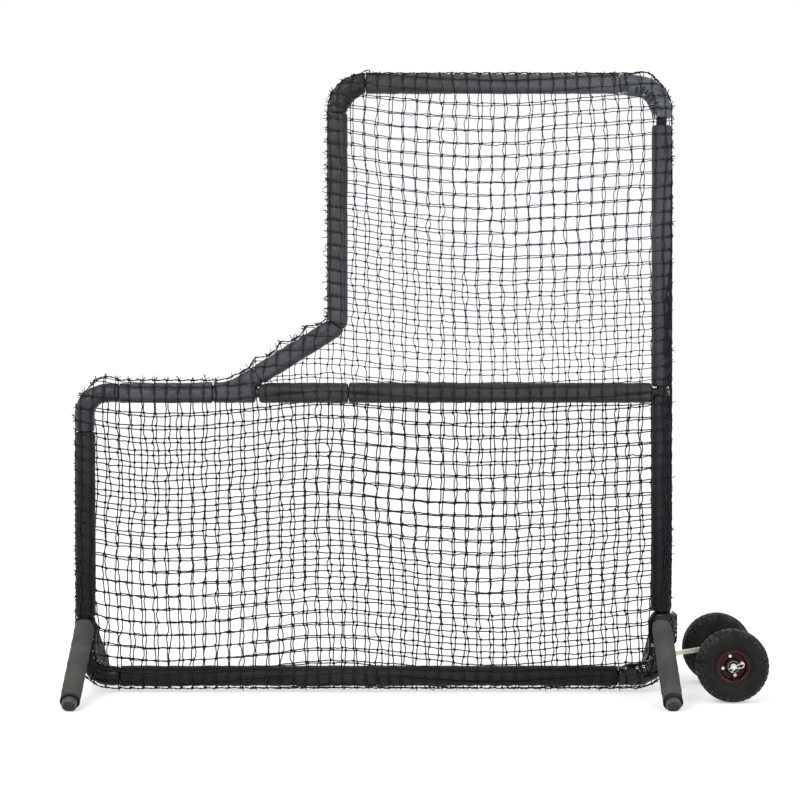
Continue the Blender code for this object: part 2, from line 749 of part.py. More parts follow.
def make_corner_pads():
    half_seam = PAD_SEAM / 2
    lower_left = pad(
        "lower_left_corner_pad",
        bend(
            LOWER_LEFT_CORNER + UP * (LOWER_LEFT_POST_REACH - half_seam),
            LOWER_LEFT_CORNER,
            LOWER_LEFT_CORNER + ACROSS * (LOWER_LEFT_RAIL_REACH - half_seam),
            CORNER_RADIUS,
        ),
        CORNER_VINYL,
        flap=True,
    )
    lower_right = make_lower_right_pad(half_seam)
    pad(
        "upper_right_corner_pad",
        bend(
            UPPER_RIGHT_CORNER - UP * UPPER_RIGHT_POST_REACH,
            UPPER_RIGHT_CORNER,
            UPPER_RIGHT_CORNER - ACROSS * (UPPER_RIGHT_RAIL_REACH - half_seam),
            CORNER_RADIUS,
        ),
        CORNER_VINYL,
        flap=True,
    )
    pad(
        "upper_left_corner_pad",
        bend(
            UPPER_LEFT_CORNER + ACROSS * (UPPER_LEFT_RAIL_REACH - half_seam),
            UPPER_LEFT_CORNER,
            UPPER_LEFT_CORNER - UP * (UPPER_LEFT_POST_REACH - half_seam),
            CORNER_RADIUS,
        ),
        PAD_VINYL,
    )
    pad(
        "shoulder_corner_pad",
        bend(
            SHOULDER_CORNER + ACROSS * (SHOULDER_RAIL_REACH - half_seam),
            SHOULDER_CORNER,
            SHOULDER_CORNER - UP * (SHOULDER_POST_REACH - half_seam),
            SHOULDER_RADIUS,
        ),
        CORNER_VINYL,
    )
    return lower_left, lower_right


def make_lower_right_pad(half_seam):
    ends = (LOWER_RIGHT_RAIL_REACH - half_seam, LOWER_RIGHT_POST_REACH - half_seam)
    way = lower_right_route(*ends)
    corner = sweep("lower_right_corner_pad", CORNER_VINYL, way, even(flap_section(), way))
    bulge_top = LOWER_RIGHT_CORNER + UP * (LOWER_RIGHT_POST_REACH - 2 * PAD_SEAM)
    bulge = straight(place(RIGHT, BULGE_BOTTOM) + ACROSS * BULGE_OFFSET, bulge_top + ACROSS * BULGE_OFFSET)
    join(corner, tube_cutter("corner_bulge", bulge, PAD_RADIUS, pad_section))
    bore_way = lower_right_route(*[end + OVERRUN for end in ends])
    cut(corner, tube_cutter("lower_right_bore_cutter", bore_way, BORE_RADIUS))
    return corner


def lower_right_route(rail_reach, post_reach):
    start = LOWER_RIGHT_CORNER - ACROSS * rail_reach
    return bend(start, LOWER_RIGHT_CORNER, LOWER_RIGHT_CORNER + UP * post_reach, CORNER_RADIUS)


def make_straight_pads():
    half_seam = PAD_SEAM / 2
    joint = place(RIGHT, SHOULDER_HEIGHT)
    runs = {
        "top_rail_pad": (
            UPPER_LEFT_CORNER + ACROSS * (UPPER_LEFT_RAIL_REACH + half_seam),
            UPPER_RIGHT_CORNER - ACROSS * (UPPER_RIGHT_RAIL_REACH + half_seam),
        ),
        "right_post_upper_pad": (
            joint + UP * JOINT_GAP_ABOVE,
            UPPER_RIGHT_CORNER - UP * (UPPER_RIGHT_POST_REACH + BARE_TUBE),
        ),
        "right_post_lower_pad": (
            LOWER_RIGHT_CORNER + UP * (LOWER_RIGHT_POST_REACH + half_seam),
            joint - UP * JOINT_GAP_BELOW,
        ),
        "bottom_rail_pad": (
            LOWER_LEFT_CORNER + ACROSS * (LOWER_LEFT_RAIL_REACH + half_seam),
            LOWER_RIGHT_CORNER - ACROSS * (LOWER_RIGHT_RAIL_REACH + half_seam),
        ),
        "left_post_pad": (
            LOWER_LEFT_CORNER + UP * (LOWER_LEFT_POST_REACH + half_seam),
            SHOULDER_CORNER - UP * (SHOULDER_POST_REACH + half_seam),
        ),
        "shoulder_rail_pad": (
            SHOULDER_CORNER + ACROSS * (SHOULDER_RAIL_REACH + half_seam),
            THROAT_CORNER - ACROSS * (THROAT_PAD_REACH + half_seam),
        ),
        "crossbar_short_pad": (
            THROAT_CORNER + ACROSS * CROSSBAR_PAD_START,
            THROAT_CORNER + ACROSS * (CROSSBAR_PAD_SEAM - half_seam),
        ),
        "crossbar_long_pad": (
            THROAT_CORNER + ACROSS * (CROSSBAR_PAD_SEAM + half_seam),
            joint - ACROSS * (PAD_RADIUS + FIT),
        ),
    }
    pads = {name: pad(name, straight(*ends), PAD_VINYL) for name, ends in runs.items()}
    post = straight(THROAT_TOP_CORNER, UPPER_LEFT_CORNER - UP * (UPPER_LEFT_POST_REACH + half_seam))
    pad("upper_left_post_pad", offset(mitred(post, False, MITRE), False, half_seam), PAD_VINYL)
    return pads


def make_pads():
    lower_left, lower_right = make_corner_pads()
    pads = make_straight_pads()
    throat_start = THROAT_CORNER - ACROSS * (THROAT_PAD_REACH - PAD_SEAM / 2)
    throat_pad = pad("throat_pad", offset(throat_route(throat_start), True, -PAD_SEAM / 2), PAD_VINYL)
    throat_space = tube_cutter(
        "throat_pad_cutter", throat_route(throat_start - ACROSS * OVERRUN), PAD_RADIUS + FIT, pad_section
    )
    cut(pads["crossbar_short_pad"], throat_space)
    crossbar_way = straight(THROAT_CORNER + ACROSS * CROSSBAR_START, place(RIGHT + TUBE_RADIUS, SHOULDER_HEIGHT))
    crossbar_space = tube_cutter("crossbar_cutter", crossbar_way, BORE_RADIUS)
    cut(throat_pad, crossbar_space)
    cut(pads["right_post_lower_pad"], crossbar_space)
    make_leg_openings(lower_left, lower_right, pads)


def make_leg_openings(lower_left, lower_right, pads):
    bottom = SOCKET_CENTRE - SOCKET_HEIGHT / 2 - FIT
    top = SOCKET_CENTRE + SOCKET_HEIGHT / 2 + FIT
    for post, corner, post_pad in (
        (LEFT, lower_left, pads["left_post_pad"]),
        (RIGHT, lower_right, pads["right_post_lower_pad"]),
    ):
        name = corner.name
        collar = straight(place(post, bottom), place(post, top))
        collar_space = tube_cutter(f"{name}_collar_cutter", collar, SOCKET_DIAMETER / 2 + FIT, pad_section)
        if post == RIGHT:
            low = Vector((RIGHT, -PLATE_WIDTH / 2 - FIT, PLATE_BOTTOM - FIT))
            high = Vector((PLATE_OUTER + HEX_HEIGHT + 2 * FIT, PLATE_WIDTH / 2 + FIT, top))
            plate_space = block("plate_cutter", low, high, None)
            cut(corner, plate_space)
            cut(post_pad, plate_space)
        cut(corner, collar_space)
        cut(post_pad, collar_space)
        for way in (-1, 1):
            leg = leg_route(post, way, 0, LEG_BORE_START + PAD_DIAMETER)
            cut(corner, tube_cutter(f"{name}_leg_cutter_{way + 1}", leg, BORE_RADIUS, side=ACROSS))


# Net: two flat layers of square mesh, and strands that turn round the pads between them

def clipped(polygon, start, end):
    way = (end - start).normalized()
    inward = Vector((-way.y, way.x))
    limit = start.dot(inward) + NET_STRAND
    kept = []
    for k, point in enumerate(polygon):
        after = polygon[(k + 1) % len(polygon)]
        depth = point.dot(inward) - limit
        depth_after = after.dot(inward) - limit
        if depth >= 0:
            kept.append(point)
        if depth * depth_after < 0:
            kept.append(point.lerp(after, depth / (depth - depth_after)))
    return kept


def grid_lines(low, high):
    first = math.ceil((low - MIDDLE) / NET_PITCH)
    last = math.floor((high - MIDDLE) / NET_PITCH)
    return [MIDDLE + NET_PITCH * k for k in range(first, last + 1)]


def net_cells(outline):
    columns = grid_lines(min(p.x for p in outline) - NET_PITCH, max(p.x for p in outline))
    rows = grid_lines(min(p.y for p in outline) - NET_PITCH, max(p.y for p in outline))
    half = NET_STRAND / 2
    cells = []
    for x in columns:
        for z in rows:
            left, right = x + half, x + NET_PITCH - half
            low, high = z + half, z + NET_PITCH - half
            cell = [Vector((left, low)), Vector((right, low)), Vector((right, high)), Vector((left, high))]
            for k, start in enumerate(outline):
                cell = clipped(cell, start, outline[(k + 1) % len(outline)])
                if len(cell) < 3:
                    break
            if len(cell) > 2 and smallest_side(cell) > SMALLEST_CELL:
                cells.append(cell)
    return cells


def smallest_side(cell):
    width = max(p.x for p in cell) - min(p.x for p in cell)
    height = max(p.y for p in cell) - min(p.y for p in cell)
    return min(width, height)


def net_panel(name, outline, edges):
    cells = net_cells(outline)
    points = list(outline)
    loops = [list(range(len(outline)))]
    for cell in cells:
        loops.append(list(range(len(points), len(points) + len(cell))))
        points += cell
    verts, _, faces, _, _, sources = delaunay_2d_cdt(points, [], loops, 1, FIT / 10)
    solid = [face for face, source in zip(faces, sources) if source == [0]]
    bm = bmesh.new()
    for near, far in ((NET_INNER, NET_INNER + NET_STRAND), (-NET_INNER, -NET_INNER - NET_STRAND)):
        add_plate(bm, verts, solid, near, far)
    panel = make_object(name, bm, NET_TWINE)
    join(panel, make_edge_strands(f"{name}_edge", edges))
    return panel


def add_plate(bm, points, triangles, near, far):
    near_verts = [bm.verts.new((p.x, near, p.y)) for p in points]
    far_verts = [bm.verts.new((p.x, far, p.y)) for p in points]
    edges = {}
    for triangle in triangles:
        bm.faces.new([near_verts[k] for k in triangle])
        bm.faces.new([far_verts[k] for k in triangle])
        for start, end in zip(triangle, triangle[1:] + triangle[:1]):
            key = (min(start, end), max(start, end))
            edges[key] = edges.get(key, 0) + 1
    for (start, end), count in edges.items():
        if count == 1:
            bm.faces.new((near_verts[start], near_verts[end], far_verts[end], far_verts[start]))


def flat(route):
    return [Vector((point.x, point.z)) for point, _, _ in route]


def make_net():
    above = SHOULDER_HEIGHT + FIT / 2
    below = SHOULDER_HEIGHT - FIT / 2
    bottom_right = bend(
        LOWER_RIGHT_CORNER - ACROSS * BEND_END, LOWER_RIGHT_CORNER, place(RIGHT, below), CORNER_RADIUS
    )
    shoulder = bend(place(RIGHT, below), place(LEFT, below), LOWER_LEFT_CORNER + UP * BEND_END, SHOULDER_RADIUS)
    bottom_left = bend(
        LOWER_LEFT_CORNER + UP * BEND_END, LOWER_LEFT_CORNER, LOWER_LEFT_CORNER + ACROSS * BEND_END, CORNER_RADIUS
    )
    top_right = bend(
        place(RIGHT, above), UPPER_RIGHT_CORNER, UPPER_LEFT_CORNER + ACROSS * BEND_END, CORNER_RADIUS
    )
    top_left = bend(
        UPPER_LEFT_CORNER + ACROSS * BEND_END, UPPER_LEFT_CORNER, place(UPPER_LEFT, above), CORNER_RADIUS
    )
    leg_top = SOCKET_CENTRE + NET_LEG_CLEARANCE
    lower = net_panel(
        "net_lower",
        flat(bottom_right[1:] + shoulder[1:-1] + bottom_left[1:-1]),
        [
            (LOWER_LEFT_CORNER + ACROSS * CORNER_RADIUS, LOWER_RIGHT_CORNER - ACROSS * CORNER_RADIUS),
            (place(RIGHT, leg_top), place(RIGHT, SHOULDER_HEIGHT - PAD_RADIUS)),
            (THROAT_CORNER - ACROSS * THROAT_RADIUS, SHOULDER_CORNER + ACROSS * SHOULDER_RADIUS),
            (SHOULDER_CORNER - UP * SHOULDER_RADIUS, place(LEFT, leg_top)),
        ],
    )
    net_panel(
        "net_upper",
        flat(top_right[:-1] + top_left[1:]),
        [
            (place(RIGHT, SHOULDER_HEIGHT + PAD_RADIUS), UPPER_RIGHT_CORNER - UP * CORNER_RADIUS),
            (UPPER_RIGHT_CORNER - ACROSS * CORNER_RADIUS, UPPER_LEFT_CORNER + ACROSS * CORNER_RADIUS),
            (UPPER_LEFT_CORNER - UP * CORNER_RADIUS, THROAT_TOP_CORNER + UP * PAD_RADIUS),
        ],
    )
    side = UPPER_LEFT - FIT
    slope_start = THROAT + THROAT_RADIUS * math.tan(THROAT_ANGLE / 2)
    rise = math.tan(THROAT_ANGLE)
    throat = [
        Vector((slope_start, above)),
        Vector((side, above)),
        Vector((side, SHOULDER_HEIGHT + (side - THROAT) * rise)),
        Vector((slope_start, SHOULDER_HEIGHT + (slope_start - THROAT) * rise)),
    ]
    slope_end = THROAT_TOP_CORNER - SLOPE * PAD_RADIUS
    net_panel("net_throat", throat, [(slope_end, THROAT_CORNER + SLOPE * THROAT_RADIUS)])
    for post, post_name in ((LEFT, "left"), (RIGHT, "right")):
        for way in (-1, 1):
            leg = leg_route(post, way, 0, LEG_BORE_START + PAD_DIAMETER)
            name = f"net_leg_cutter_{post_name}_{way + 1}"
            cut(lower, tube_cutter(name, leg, LEG_SLEEVE_DIAMETER / 2 + FIT, pad_section, ACROSS))


def make_edge_strands(name, spans):
    bm = bmesh.new()
    for start, end in spans:
        along = (end - start).normalized()
        level = abs(along.x) > abs(along.z)
        first, last = (start.x, end.x) if level else (start.z, end.z)
        for line in grid_lines(min(first, last), max(first, last)):
            share = (line - first) / (last - first)
            add_edge_strand(bm, start.lerp(end, share), along)
    return make_object(name, bm, None)


def add_edge_strand(bm, centre, along):
    inward = along.cross(DEPTH)
    half = along * EDGE_STRAND / 2
    near = NET_INNER + NET_LAP
    rings = []
    steps = PAD_SIDES // 2
    for step in range(steps + 1):
        angle = math.pi * step / steps
        spoke = DEPTH * math.cos(angle) - inward * math.sin(angle)
        start = centre + inward * NET_HOLD if step in (0, steps) else centre
        inner = start + spoke * near
        rings.append([inner - half, inner + half, start + spoke * (near + EDGE_STRAND)])
    rows = add_skin(bm, rings)
    bm.faces.new(rows[0])
    bm.faces.new(rows[-1])


clear_scene()
make_frame()
make_feet()
make_carriage()
make_bolts()
make_pads()
make_wheel("front", -1)
make_wheel("rear", 1)
make_net()
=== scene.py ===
import math

import bpy
import numpy as np
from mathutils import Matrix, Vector


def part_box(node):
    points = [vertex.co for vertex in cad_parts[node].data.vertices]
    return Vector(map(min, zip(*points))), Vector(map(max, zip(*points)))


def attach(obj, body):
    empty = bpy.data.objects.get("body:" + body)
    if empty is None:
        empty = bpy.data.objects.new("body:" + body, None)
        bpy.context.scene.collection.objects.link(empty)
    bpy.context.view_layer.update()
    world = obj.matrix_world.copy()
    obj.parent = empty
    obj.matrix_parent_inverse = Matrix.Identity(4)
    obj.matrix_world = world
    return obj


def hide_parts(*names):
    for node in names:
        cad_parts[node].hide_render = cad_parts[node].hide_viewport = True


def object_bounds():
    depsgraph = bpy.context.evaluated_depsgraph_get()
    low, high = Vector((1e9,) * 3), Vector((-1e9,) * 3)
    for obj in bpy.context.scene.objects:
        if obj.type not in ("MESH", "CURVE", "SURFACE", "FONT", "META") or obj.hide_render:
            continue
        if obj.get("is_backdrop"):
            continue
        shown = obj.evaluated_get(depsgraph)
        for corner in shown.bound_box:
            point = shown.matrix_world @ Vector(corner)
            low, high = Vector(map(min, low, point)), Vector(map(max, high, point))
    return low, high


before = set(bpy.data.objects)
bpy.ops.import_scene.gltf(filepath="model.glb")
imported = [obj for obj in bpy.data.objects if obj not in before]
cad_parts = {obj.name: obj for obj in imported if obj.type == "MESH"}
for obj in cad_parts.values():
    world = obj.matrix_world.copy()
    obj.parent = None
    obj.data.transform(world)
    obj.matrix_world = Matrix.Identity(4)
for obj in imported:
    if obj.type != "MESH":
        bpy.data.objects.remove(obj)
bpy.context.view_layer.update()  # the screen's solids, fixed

print("solids loaded:", len(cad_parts))


# places that the solids give, in metres

def middle(node):
    low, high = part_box(node)
    return np.array([(a + b) / 2 for a, b in zip(low, high)])


leftX = middle("left_post_tube")[0]
rightX = middle("right_post_tube")[0]
upperX = middle("upper_left_post_tube")[0]
topZ = middle("top_rail_tube")[2]
railZ = middle("crossbar_tube")[2]
bottomZ = middle("bottom_rail_tube")[2]
axle = middle("axle")
slopeAngle = math.radians(32)
slopeRun = 0.386  # from the throat's corner to the window's post, level
throatX = upperX - slopeRun
mitreZ = railZ + slopeRun * math.tan(slopeAngle)
legAngle = math.radians(33)
cornerRadius = 0.095
shoulderRadius = 0.080
throatRadius = 0.200
padRadius = 0.035
tubeRadius = 0.01745
tubeWall = 0.0016
frameMiddle = (leftX + rightX) / 2
photo = {"pixel": 0.00359, "column": 373.25, "row": 692}  # metres in a pixel; the frame's middle, the floor
pixel = photo["pixel"]


def fromPixels(x, y=None):  # a place in the photograph, at the frame's plane
    across = frameMiddle + (x - photo["column"]) * pixel
    return across if y is None else (across, (photo["row"] - y) * pixel)


# mesh tools: a surface is an array of points, rows by columns

def fullTurn(steps):
    return np.arange(steps) / steps * 2 * math.pi


def quadCorners(rows, cols):  # the row and column of each quad's four corners
    i, j = np.arange(rows)[:, None], np.arange(cols)[None, :]
    return [(i, j), (i, j + 1), (i + 1, j + 1), (i + 1, j)]


def gridFaces(rows, cols, wrapRows):
    # the quads between neighbouring rings; each ring closes on itself, and the last ring can join the first
    quads = [i % rows * cols + j % cols for i, j in quadCorners(rows if wrapRows else rows - 1, cols)]
    return np.stack(quads, -1).reshape(-1, 4)


def gridPart(points, wrapRows=False, u=None, v=None, closeEnds=False):
    # a tube of quads with a UV in metres; its ends can be closed by a fan round their middles
    rows, cols = points.shape[:2]
    quads = gridFaces(rows, cols, wrapRows)
    u = np.arange(rows + 1) * 0.01 if u is None else np.append(u, 2 * u[-1] - u[-2])
    v = np.arange(cols + 1) * 0.01 if v is None else np.append(v, 2 * v[-1] - v[-2])
    corners = quadCorners(rows if wrapRows else rows - 1, cols)
    uv = np.stack([np.stack([u[a] + 0 * v[b], v[b] + 0 * u[a]], -1) for a, b in corners], -2)
    uv = uv.reshape(-1, 4, 2)
    flat = points.reshape(-1, 3)
    sets = [(quads, uv)]
    if closeEnds:
        for k in (0, rows - 1):
            hub = points[k].mean(0)
            index = len(flat)
            flat = np.vstack([flat, hub[None]])
            ring = k * cols + np.arange(cols)
            after = np.roll(ring, -1)
            rim = (after, ring) if k == 0 else (ring, after)
            fan = np.stack([np.full(cols, index), *rim], -1)
            sets.append((fan, np.zeros((cols, 3, 2)) + u[k]))
    return flat, sets


def mergeParts(parts):  # one list of points, and the faces gathered by their number of sides
    points, sets, base = [], {}, 0
    for flat, faceSets in parts:
        points.append(flat)
        for faces, uv in faceSets:
            kept = sets.setdefault(faces.shape[1], ([], []))
            kept[0].append(faces + base)
            kept[1].append(uv)
        base += len(flat)
    return np.vstack(points), [(np.vstack(f), np.vstack(t)) for f, t in sets.values()]


def signedVolume(points, sets):
    total = 0.0
    for faces, _ in sets:
        for k in range(1, faces.shape[1] - 1):
            a, b, c = points[faces[:, 0]], points[faces[:, k]], points[faces[:, k + 1]]
            total += float((np.cross(a, b) * c).sum())
    return total


def facingOut(part):  # turns a closed part the right way
    points, sets = part
    if signedVolume(points - points.mean(0), sets) < 0:
        sets = [(faces[:, ::-1], uv[:, ::-1]) for faces, uv in sets]
    return points, sets


def makePiece(name, parts, material, body="frame", smooth=True):
    # one object of one or more parts; smooth is True, or the angle in degrees past which an edge stays sharp
    points, sets = mergeParts(parts)
    mesh = bpy.data.meshes.new(name)
    loops = np.concatenate([faces.ravel() for faces, _ in sets]).astype(np.int32)
    sizes = np.concatenate([np.full(len(faces), faces.shape[1]) for faces, _ in sets])
    starts = np.concatenate([[0], np.cumsum(sizes)[:-1]]).astype(np.int32)
    mesh.vertices.add(len(points))
    mesh.vertices.foreach_set("co", points.astype(np.float32).ravel())
    mesh.loops.add(len(loops))
    mesh.loops.foreach_set("vertex_index", loops)
    mesh.polygons.add(len(sizes))
    mesh.polygons.foreach_set("loop_start", starts)
    layer = mesh.uv_layers.new(name="UVMap")
    uvs = np.concatenate([uv.reshape(-1, 2) for _, uv in sets])
    layer.data.foreach_set("uv", uvs.astype(np.float32).ravel())
    mesh.update(calc_edges=True)
    mesh.validate()
    mesh.shade_smooth()
    if smooth is not True:
        mesh.set_sharp_from_angle(angle=math.radians(smooth))
    mesh.materials.append(material)
    piece = bpy.data.objects.new(name, mesh)
    bpy.context.scene.collection.objects.link(piece)
    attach(piece, body)
    return piece


def smoothStep(x, low, high):
    t = np.clip((x - low) / (high - low), 0, 1)
    return t * t * (3 - 2 * t)


def waves(a, b, seed, low, high, count=14):
    # a smooth random field, a sum of plane waves of lengths low to high in any direction, about -1 to 1
    rng = np.random.default_rng(seed)
    total = 0.0
    for _ in range(count):
        length, turn, phase = rng.uniform(low, high), rng.uniform(0, math.pi), rng.uniform(0, 2 * math.pi)
        total = total + np.sin(2 * math.pi / length * (a * math.cos(turn) + b * math.sin(turn)) + phase)
    return total / math.sqrt(count)


def lengthAlong(line):  # at each point of a line, how far along it the point is
    return np.concatenate([[0], np.cumsum(np.linalg.norm(np.diff(line, axis=0), axis=1))])


def roundedPath(corners, radii, step):
    # a line in the screen's plane through (x, z) corners, each rounded by its radius;
    # gives its places, directions and lengths
    corners = [np.array(c, float) for c in corners]
    places = [corners[0]]
    for k in range(1, len(corners) - 1):
        before = corners[k] - corners[k - 1]
        after = corners[k + 1] - corners[k]
        before, after = before / np.linalg.norm(before), after / np.linalg.norm(after)
        turn = math.atan2(before[0] * after[1] - before[1] * after[0], float(before @ after))
        radius = radii[k - 1]
        cut = radius * math.tan(abs(turn) / 2)
        start = corners[k] - before * cut
        count = max(3, int(abs(turn) * radius / step))
        angle = np.linspace(0, turn, count + 1)
        way = math.copysign(1, turn)
        normal = np.array([-before[1], before[0]]) * way
        ahead, aside = radius * np.sin(np.abs(angle)), radius * (1 - np.cos(angle))
        places.append(start + before * ahead[:, None] + normal * aside[:, None])
    places.append(corners[-1])
    line = np.vstack([np.atleast_2d(p) for p in places])
    lengths = lengthAlong(line)
    count = max(2, int(round(lengths[-1] / step)))
    s = np.linspace(0, lengths[-1], count + 1)
    xz = np.stack([np.interp(s, lengths, line[:, k]) for k in (0, 1)], -1)
    along = np.gradient(xz, s, axis=0)
    along /= np.linalg.norm(along, axis=1)[:, None]
    return xz, along, s


def sweepRings(xz, along, rho, theta):
    # rings square to a line in the plane y = 0; theta 0 is to the rear, a quarter turn on to the line's left
    rise = np.stack([-along[:, 1], along[:, 0]], -1)
    x, z = [xz[:, None, k] + rise[:, None, k] * rho * np.sin(theta) for k in (0, 1)]
    return np.stack([x, rho * np.cos(theta) + 0 * x, z], -1)


def turnedPart(profile, centre, steps, closed=True):
    # a profile of (radius, distance along y) carried once round the y direction
    profile = np.array(profile, float)
    angle = fullTurn(steps)
    radius, along = profile[:, 0, None], profile[:, 1, None]
    points = np.stack([radius * np.sin(angle), along + 0 * angle, -radius * np.cos(angle)], -1) + centre
    u, v = lengthAlong(profile), angle * profile[:, 0].mean()
    return facingOut(gridPart(points, wrapRows=closed, u=u, v=v, closeEnds=not closed))


def softProfile(points, radius=0.0008, steps=3):
    # a closed profile with each corner rounded off
    points = np.array(points, float)
    made = []
    for k in range(len(points)):
        here, before, after = points[k], points[k - 1], points[(k + 1) % len(points)]
        a, b = before - here, after - here
        reach = min(radius, np.linalg.norm(a) * 0.45, np.linalg.norm(b) * 0.45)
        a, b = here + a / np.linalg.norm(a) * reach, here + b / np.linalg.norm(b) * reach
        t = np.linspace(0, 1, steps)[:, None]
        made.append((1 - t) ** 2 * a + 2 * t * (1 - t) * here + t ** 2 * b)
    return np.vstack(made)


def smoothCurve(points, count):
    # a smooth line through points: a cubic between each two, whose slope at a point follows its neighbours
    p = np.array(points, float)
    p = np.vstack([2 * p[0] - p[1], p, 2 * p[-1] - p[-2]])
    t = np.linspace(0, len(points) - 1, count)
    k = np.minimum(t.astype(int), len(points) - 2)
    f = (t - k)[:, None]
    a, b, c, d = p[k], p[k + 1], p[k + 2], p[k + 3]
    square, cube = 2 * a - 5 * b + 4 * c - d, 3 * b - a - 3 * c + d
    return 0.5 * (2 * b + (c - a) * f + square * f ** 2 + cube * f ** 3)


def spokes(first, second, sides):  # the directions from a line to the points of a ring, at each station
    turn = fullTurn(sides)
    return np.cos(turn)[:, None] * first[..., None, :] + np.sin(turn)[:, None] * second[..., None, :]


def wirePart(line, radius, sides=10):
    # a round wire along a line of places, each ring turned from the one before by the least twist
    along = np.gradient(line, axis=0)
    along /= np.linalg.norm(along, axis=1)[:, None]
    side = np.cross(along[0], [0.31, 0.77, 0.55])
    first = []
    for way in along:
        side = side - way * (side @ way)
        side = side / np.linalg.norm(side)
        first.append(side)
    first = np.array(first)
    points = line[:, None] + radius * spokes(first, np.cross(along, first), sides)
    return facingOut(gridPart(points, closeEnds=True, u=lengthAlong(line), v=fullTurn(sides) * radius))


# shared shader groups

def mathNode(tree, operation):
    node = tree.nodes.new("ShaderNodeMath")
    node.operation = operation
    return node


def newGroup(name, inputs, outputs):
    group = bpy.data.node_groups.new(name, "ShaderNodeTree")
    for label, value in inputs.items():
        kind = "NodeSocketVector" if label == "Vector" else "NodeSocketFloat"
        socket = group.interface.new_socket(name=label, in_out="INPUT", socket_type=kind)
        if label != "Vector":
            socket.default_value = value
    for label in outputs:
        group.interface.new_socket(name=label, in_out="OUTPUT", socket_type="NodeSocketFloat")
    return group, group.nodes.new("NodeGroupInput"), group.nodes.new("NodeGroupOutput")


def noiseGroup(name, detail, low, high):
    # noise at a scale, stretched so that low to high becomes 0 to 1
    group, source, result = newGroup(name, {"Vector": None, "Scale": 10.0}, ["Mask"])
    noise = group.nodes.new("ShaderNodeTexNoise")
    noise.inputs["Detail"].default_value = detail
    spread = group.nodes.new("ShaderNodeMapRange")
    spread.inputs["From Min"].default_value, spread.inputs["From Max"].default_value = low, high
    link = group.links.new
    link(source.outputs["Vector"], noise.inputs["Vector"])
    link(source.outputs["Scale"], noise.inputs["Scale"])
    link(noise.outputs["Fac"], spread.inputs["Value"])
    link(spread.outputs["Result"], result.inputs["Mask"])
    return group


def grainGroup():
    # leather-like grain: small cells with soft valleys between them
    group, source, result = newGroup("vinylGrain", {"Vector": None, "Scale": 700.0}, ["Height"])
    cells = group.nodes.new("ShaderNodeTexVoronoi")
    cells.feature = "DISTANCE_TO_EDGE"
    soft = group.nodes.new("ShaderNodeMapRange")
    soft.inputs["From Max"].default_value = 0.25
    link = group.links.new
    link(source.outputs["Vector"], cells.inputs["Vector"])
    link(source.outputs["Scale"], cells.inputs["Scale"])
    link(cells.outputs["Distance"], soft.inputs["Value"])
    link(soft.outputs["Result"], result.inputs["Height"])
    return group


def twistGroup():
    # three-strand twist along UV: bands that climb round the twine
    group, source, result = newGroup("twineTwist", {"Vector": None, "Turns": 260.0, "Slant": 3.0}, ["Height"])
    parts = group.nodes.new("ShaderNodeSeparateXYZ")
    along, around, wave = [mathNode(group, kind) for kind in ("MULTIPLY", "MULTIPLY_ADD", "SINE")]
    lift = group.nodes.new("ShaderNodeMapRange")
    lift.inputs["From Min"].default_value = -1
    link = group.links.new
    link(source.outputs["Vector"], parts.inputs["Vector"])
    link(parts.outputs["X"], along.inputs[0])
    link(source.outputs["Turns"], along.inputs[1])
    link(parts.outputs["Y"], around.inputs[0])
    link(source.outputs["Slant"], around.inputs[1])
    link(along.outputs[0], around.inputs[2])
    link(around.outputs[0], wave.inputs[0])
    link(wave.outputs[0], lift.inputs["Value"])
    link(lift.outputs["Result"], result.inputs["Height"])
    return group


patchMask = noiseGroup("patchMask", 4.0, 0.42, 0.62)
speckMask = noiseGroup("speckMask", 2.0, 0.60, 0.72)
vinylGrain = grainGroup()
twineTwist = twistGroup()


